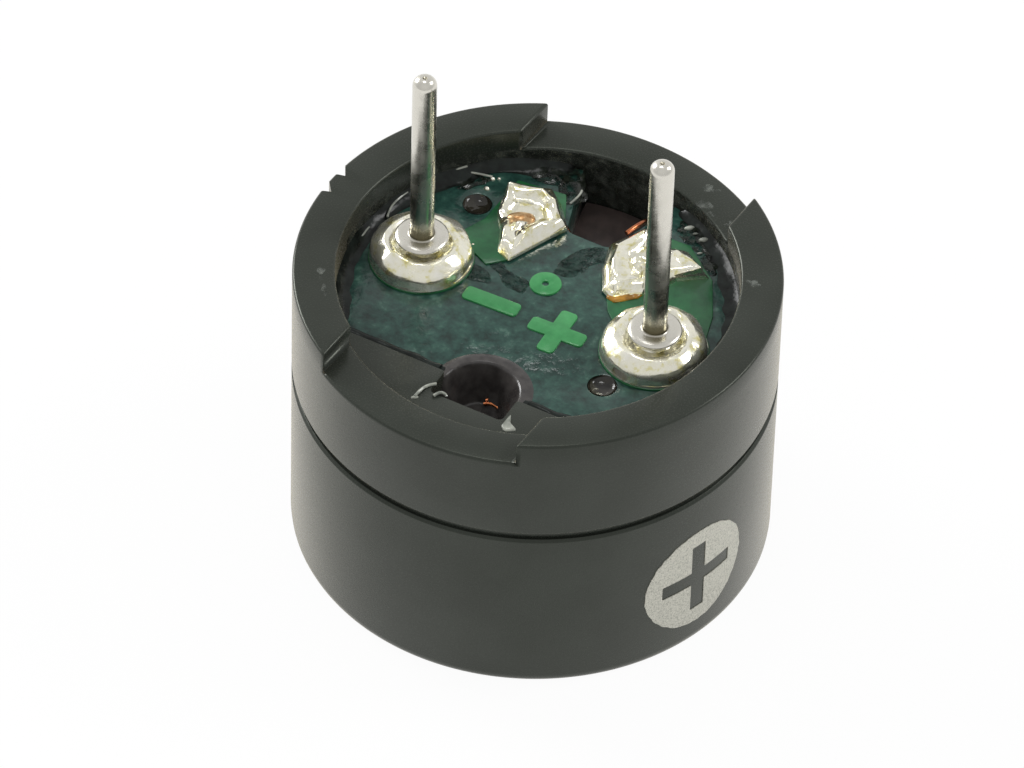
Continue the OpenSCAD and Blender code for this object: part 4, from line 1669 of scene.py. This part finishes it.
    def threads(self) -> None:
        """Draws out threads: fine ones over the board, and two thicker ones over the land."""
        fine = [[(-4.62, 0.72, 0.1), (-4.75, 1.05, 0.12), (-4.72, 1.35, 0.14), (-4.6, 1.7, 0.14)],
                [(-4.22, 2.55, 0.12), (-4.15, 2.75, 0.16), (-3.95, 2.95, 0.18), (-3.75, 3.2, 0.2)],
                [(-3.7, 3.15, 0.06), (-3.5, 3.2, 0.08), (-3.3, 3.25, 0.08), (-3.1, 3.32, 0.05)],
                [(-0.92, 3.96, 0.1), (-0.85, 3.75, 0.14), (-0.9, 3.55, 0.14), (-0.95, 3.41, 0.1)],
                [(-4.88, -0.35, 0.08), (-4.8, -0.1, 0.1), (-4.86, 0.05, 0.1), (-4.84, 0.2, 0.08)]]
        thick = [[(-0.93, -4.44, 0.03), (-0.92, -4.15, 0.06), (-0.85, -3.95, 0.05),
                  (-0.7, -3.8, 0.0)],
                 [(-0.55, -4.2, 0.02), (-0.5, -4.05, 0.05), (-0.4, -3.95, 0.04),
                  (-0.3, -4.0, -0.05)]]
        made = [tube(bezier(route, low, 14), radius, 8)
                for routes, low, radius in ((fine, self.stack.top, self.thread_r),
                                            (thick, self.stack.land, self.thick_thread_r))
                for route in routes]
        # painted highlight: the threads' pale colour stands for glints along them
        piece(gathered(made), "epoxy_threads", self.pale)

    def drops(self) -> None:
        """Lets fall a web on the land, and drops on the land and the board."""
        land, over = self.stack.land, self.stack.top + 0.02
        web = [(1.36, -3.76, 0.03), (1.34, -4.25, 0.1), (1.5, -4.38, 0.1), (1.78, -4.2, 0.08),
               (1.5, -4.05, 0.1)]
        made = [lump(rounded(web), (1.47, -4.16), land, 0.05, 0.8, 8)]
        for x, y, r in [(1.98, 4.2, 0.1), (2.47, 4.0, 0.1), (2.2, 4.1, 0.05), (-0.93, -4.46, 0.07),
                        (2.62, 3.55, 0.05)]:
            spot = Spot(x, y, r * 1.4, r * 0.7, 40)
            made.append(spot.heap(land if y < 0 else over, r * 0.6, 24, 8, 0.8))
        # painted highlight: the drops' pale colour stands for glints on them
        piece(gathered(made), "epoxy_drops", self.pale)

    def smear(self, name: str, finish: bpy.types.Material, height: float,
              spots: Iterable[Spot]) -> None:
        """Spreads one piece of thin smears on the board.

        Args:
            name: the piece's name.
            finish: its material.
            height: how thick they are.
            spots: where they lie.
        """
        top = self.stack.top
        bm = gathered([spot.heap(top, height, 48, 12, ragged=0.2) for spot in spots])
        wobble(bm, 0.25, height / 4, 6.0, top + height / 5)
        for vert in bm.verts:
            vert.co.z = max(vert.co.z, top)
        piece(bm, name, finish)

    def smears(self) -> None:
        """Spreads the smears behind the joints and the haze between the pins."""
        # painted shade: the dark smears behind the joints stand partly for the shade near the back
        # wall
        self.smear("epoxy_smears_and_painted_shade", self.film, 0.07,
                   [Spot(-2.0, 4.15, 0.7, 0.3, -8), Spot(-1.2, 4.1, 0.8, 0.34, -70),
                    Spot(-3.4, 2.95, 0.5, 0.2, 50), Spot(3.0, 3.3, 0.4, 0.2, -50),
                    Spot(2.25, 3.95, 0.6, 0.24, -35)])
        self.smear("epoxy_haze", EPOXY_HAZE.material(), 0.05,
                   [Spot(-1.9, 0.2, 0.6, 0.25, -10), Spot(-1.0, 0.45, 0.7, 0.22, -25),
                    Spot(0.3, 1.9, 0.8, 0.3, 60)])

    def specks(self) -> None:
        """Spatters specks of solder on the board."""
        made = [Spot(x, y, r, r * 0.8).heap(self.stack.top, r, 20, 8)
                for x, y, r in [(-3.08, 3.29, 0.07), (-2.94, 3.38, 0.05), (-3.03, 2.91, 0.08),
                                (-2.62, 1.55, 0.05), (-2.35, 1.0, 0.06)]]
        piece(gathered(made), "solder_specks", self.solder)

    def rolls(self) -> None:
        """Lays a roll along the board's straight edge on each side of the front notch."""
        y, z = 0.02 - self.stack.flat_y, self.stack.top + 0.01
        made = []
        for start, end in [(-3.6, -0.95), (1.5, 3.5)]:
            way = [Vector((start + (end - start) * k / 24, y, z)) for k in range(25)]
            roll = tube(way, self.roll_r, 16)
            wobble(roll, 0.5, 0.05, start)
            made.append(roll)
        # painted shade: the dark rolls stand partly for the shade along the board's straight edge
        piece(gathered(made), "epoxy_rolls_and_painted_shade", self.edge)

    def smudges(self) -> None:
        """Wipes smudges on the floor of the back vent gap and on the rim."""
        floor, rim = self.stack.gap_floor, self.stack.rim
        made = [spot.heap(level - 0.004, self.film_t, 32, 4, ragged=0.25)
                for level, spot in [(floor, Spot(2.0, 5.2, 0.2, 0.09, 10)),
                                    (floor, Spot(2.24, 4.59, 0.3, 0.1, -40)),
                                    (floor, Spot(3.02, 4.39, 0.16, 0.1, 60)),
                                    (rim, Spot(4.72, 2.22, 0.18, 0.11, 30)),
                                    (rim, Spot(-4.5, -2.8, 0.24, 0.06, 122)),
                                    (rim, Spot(-4.14, -3.24, 0.18, 0.05, 128))]]
        piece(gathered(made), "epoxy_smudges", EPOXY_SMUDGE.material())

    def wall_films(self) -> None:
        """Leaves a thin film on the base's inner wall, down to the pool behind the lead notch."""
        low, high = (self.stack.top + up for up in self.film_up)
        made = []
        for start, end, foot in [(108, 150, low), (165, 190, low), (20, 74, low),
                                 (74, 108, self.pool_z)]:
            made.append(slab([*arc((0, 0), self.wall_r - self.film_t, start, end, 60),
                              *arc((0, 0), self.wall_r, end, start, 60)], foot, high))
        # painted light: the grey film lifts the shaded inner wall, besides standing for resin wisps
        piece(gathered(made), "epoxy_wall_film_and_painted_light", EPOXY_WALL_AND_LIGHT.material())

    def build(self) -> None:
        """Runs all of it on."""
        self.bead()
        self.pools()
        self.notch_lining()
        self.glimpse()
        self.seam()
        self.threads()
        self.drops()
        self.smears()
        self.specks()
        self.rolls()
        self.smudges()
        self.wall_films()


@dataclass
class Magnetics:
    """The diaphragm, the magnet and the winding, seen only through the notches and the port."""

    stack: Stack
    wire: bpy.types.Material
    turn_h: float = 0.1  # pitch of its layers of wire
    build_t: float = 1.4  # the winding's thickness, from its bore to its outside

    def winding(self) -> None:
        """Turns the winding with its layers of wire showing outside."""
        low, high = span("coil")
        turns = int((high.z - low.z) / self.turn_h)
        pitch, deep = (high.z - low.z) / turns, self.turn_h * 0.25
        # One wire's outline: shares of the groove's depth, and of the pitch
        strand = ((1.0, 0.02), (0.3, 0.2), (0.0, 0.5), (0.3, 0.8))
        outer = [(high.x - deep * groove, low.z + (i + share) * pitch)
                 for i in range(turns) for groove, share in strand]
        inner = high.x - self.build_t
        bm = spun([(inner, low.z), *outer, (high.x - deep, high.z), (inner, high.z)], 72)
        piece(bm, "wound_coil", self.wire, ["coil"])

    def build(self) -> None:
        """Winds the coil and dresses the other solids."""
        self.winding()
        steel, iron = SPRING_STEEL.material(), SOFT_IRON.material()
        film = FILM.material()
        dress("diaphragm", steel)
        for node in ("armature_disc", "pole_core", "yoke_plate"):
            dress(node, iron)
        dress("ring_magnet", FERRITE.material())
        for node in ("core_sleeve", "insulating_washer"):
            dress(node, film)


@dataclass(frozen=True)
class Lamp:
    """One soft round lamp."""

    name: str
    azimuth: float  # in degrees from the camera's right, turning to the back
    elevation: float  # in degrees
    size: float  # its width in metres
    power: float  # in watts
    distance: float = 0.25  # in metres


@dataclass
class Studio:
    """The floor, the light and the camera."""

    distance: float = 221.4264  # from the part's axis to the camera
    elevation: float = 0.792  # in radians
    heading: float = 27.554  # in degrees
    focal_px: float = 8956.0752
    aim: tuple[float, float] = (-0.5547, 0.3687)  # what it looks at: how far right and up
    aim_z: float = 4.0  # of this height on the axis
    roll: float = 0.0304  # in radians
    width_px: int = 1024
    sensor: float = 36.0  # its width in millimetres
    clip: tuple[float, float] = (0.01, 10.0)  # in metres
    floor_size: float = 1.2  # in metres
    floor_colour: str = "f8f8f8"
    shade: float = 0.05  # how much of the part's shadow the camera sees on the floor
    # The sky's brightness, at places that the method world explains
    sky: tuple[tuple[float, float], ...] = ((0.45, 0.8), (0.66, 0.65), (0.85, 0.65), (1.0, 0.75))
    lamps: tuple[Lamp, ...] = (Lamp("key_lamp", azimuth=140, elevation=25, size=0.12, power=0.35),
                               Lamp("side_lamp", azimuth=10, elevation=42, size=0.08, power=0.15),
                               Lamp("top_lamp", azimuth=100, elevation=75, size=0.06, power=0.05))
    lamp_aim_z: float = 6.0  # height of the point that the lamps face

    def view(self) -> tuple[Vector, Vector, Vector, Vector]:
        """Works out the camera's place and its directions.

        Returns:
            Where it stands, and its right, up and forward directions.
        """
        turn = Matrix.Rotation(math.radians(self.heading), 3, "Z")
        stand = Vector((0, -self.distance * math.cos(self.elevation),
                        self.distance * math.sin(self.elevation) + self.aim_z))
        target = Vector((self.aim[0], 0, self.aim_z + self.aim[1]))
        forward = (target - stand).normalized()
        right = forward.cross(Vector((0, 0, 1))).normalized()
        up = right.cross(forward)
        c, s = math.cos(self.roll), math.sin(self.roll)
        return turn @ stand, turn @ (c * right + s * up), turn @ (c * up - s * right), turn @ forward

    def camera(self) -> None:
        """Sets the camera."""
        stand, right, up, forward = self.view()
        data = bpy.data.cameras.new("camera")
        data.sensor_width = self.sensor
        data.lens = self.focal_px * self.sensor / self.width_px
        data.clip_start, data.clip_end = self.clip
        obj = bpy.data.objects.new("camera", data)
        axes = Matrix((right, up, -forward)).transposed().to_4x4()
        obj.matrix_world = Matrix.Translation(stand * MM) @ axes
        bpy.context.scene.collection.objects.link(obj)
        bpy.context.scene.camera = obj

    def seen_white(self, tree: bpy.types.NodeTree) -> bpy.types.NodeSocket:
        """Marks the rays for which the floor is plain white.

        Args:
            tree: the node tree.

        Returns:
            A socket that is 1 for those rays.
        """
        path = add(tree, "LightPath")
        seen = path.outputs["Is Camera Ray"]
        for kind in ("Is Glossy Ray", "Is Transmission Ray"):
            seen = add(tree, "Math", {0: seen, 1: path.outputs[kind]},
                       operation="MAXIMUM").outputs[0]
        return seen

    def floor(self) -> None:
        """Lays a white floor that keeps a faint shadow."""
        bm = bmesh.new()
        bmesh.ops.create_grid(bm, x_segments=1, y_segments=1, size=self.floor_size / 2)
        mesh = bpy.data.meshes.new("floor")
        bm.to_mesh(mesh)
        bm.free()
        obj = bpy.data.objects.new("floor", mesh)
        bpy.context.scene.collection.objects.link(obj)
        material = bpy.data.materials.new("floor_white")
        material.use_nodes = True
        tree = material.node_tree
        tree.nodes.clear()
        plain = add(tree, "BsdfDiffuse", {"Color": linear(self.floor_colour)})
        glow = add(tree, "Emission", {"Color": (1, 1, 1, 1), "Strength": 1.0})
        share = add(tree, "Math", {0: self.seen_white(tree), 1: 1 - self.shade},
                    operation="MULTIPLY")
        mixed = add(tree, "MixShader", {0: share.outputs[0], 1: plain.outputs[0],
                                        2: glow.outputs[0]})
        add(tree, "OutputMaterial", {"Surface": mixed.outputs[0]})
        mesh.materials.append(material)

    def world(self) -> None:
        """Surrounds the part with soft light, paler behind it and at its sides than overhead.

        The camera itself sees plain white. A place in the sky's ramp is 0 straight behind the part
        and 1 straight behind the camera.
        """
        world = bpy.data.worlds.new("world")
        bpy.context.scene.world = world
        world.use_nodes = True
        tree = world.node_tree
        tree.nodes.clear()
        toward = -self.view()[3]
        where = add(tree, "TexCoord").outputs["Generated"]
        facing = add(tree, "VectorMath", {0: where, 1: tuple(toward)}, operation="DOT_PRODUCT")
        share = add(tree, "MapRange", {"Value": facing.outputs["Value"], "From Min": -1.0})
        soft = ramp(tree, share.outputs["Result"], self.sky)
        path = add(tree, "LightPath")
        light = add(tree, "Background", {"Color": soft, "Strength": 1.0})
        white = add(tree, "Background", {"Color": (1, 1, 1, 1), "Strength": 1.0})
        mixed = add(tree, "MixShader", {0: path.outputs["Is Camera Ray"], 1: light.outputs[0],
                                        2: white.outputs[0]})
        add(tree, "OutputWorld", {"Surface": mixed.outputs[0]})

    def hang(self, lamp: Lamp) -> None:
        """Hangs one soft lamp.

        Args:
            lamp: the lamp.
        """
        right = self.view()[1]
        start = math.atan2(right.y, right.x) + math.radians(lamp.azimuth)
        rise = math.radians(lamp.elevation)
        way = Vector((math.cos(start) * math.cos(rise), math.sin(start) * math.cos(rise),
                      math.sin(rise)))
        data = bpy.data.lights.new(lamp.name, "AREA")
        data.shape, data.size, data.energy = "DISK", lamp.size, lamp.power
        obj = bpy.data.objects.new(lamp.name, data)
        obj.location = way * lamp.distance + Vector((0, 0, self.lamp_aim_z * MM))
        obj.rotation_euler = way.to_track_quat("Z", "Y").to_euler()
        bpy.context.scene.collection.objects.link(obj)

    def build(self) -> None:
        """Sets the whole studio."""
        self.camera()
        self.floor()
        self.world()
        for lamp in self.lamps:
            self.hang(lamp)
        bpy.context.scene.view_settings.view_transform = "Standard"


def main() -> None:
    """Builds the studio and every sub-assembly."""
    logging.basicConfig(level=logging.INFO, format="%(name)s %(message)s")
    mnoise.seed_set(NOISE_SEED)
    Studio().build()
    stack = Stack.read()
    plastic, solder = BlackMoulding().material(), TinSolder().material()
    wet = WET_SOLDER.material()
    metal = TinnedPin(stack.collar_top).material()
    wire, flux = EnamelledCopper().material(), FLUX.material()
    Housing(stack, plastic).build()
    Print(stack, PrintInk().material()).build()
    Board(stack, MaskedLaminate().material(), MaskedCopper().material(),
          MARK_COPPER.material()).build()
    Pin(stack, Pole.MINUS, -stack.pin_x, metal, solder, solder_r=1.3, seed=1.0).build()
    Pin(stack, Pole.PLUS, stack.pin_x, metal, solder, solder_r=1.34, seed=4.0).build()
    CoilEnds(stack, wire, wet, flux).build()
    Seal(stack, solder, wire).build()
    Magnetics(stack, wire).build()


if __name__ == "__main__":
    main()
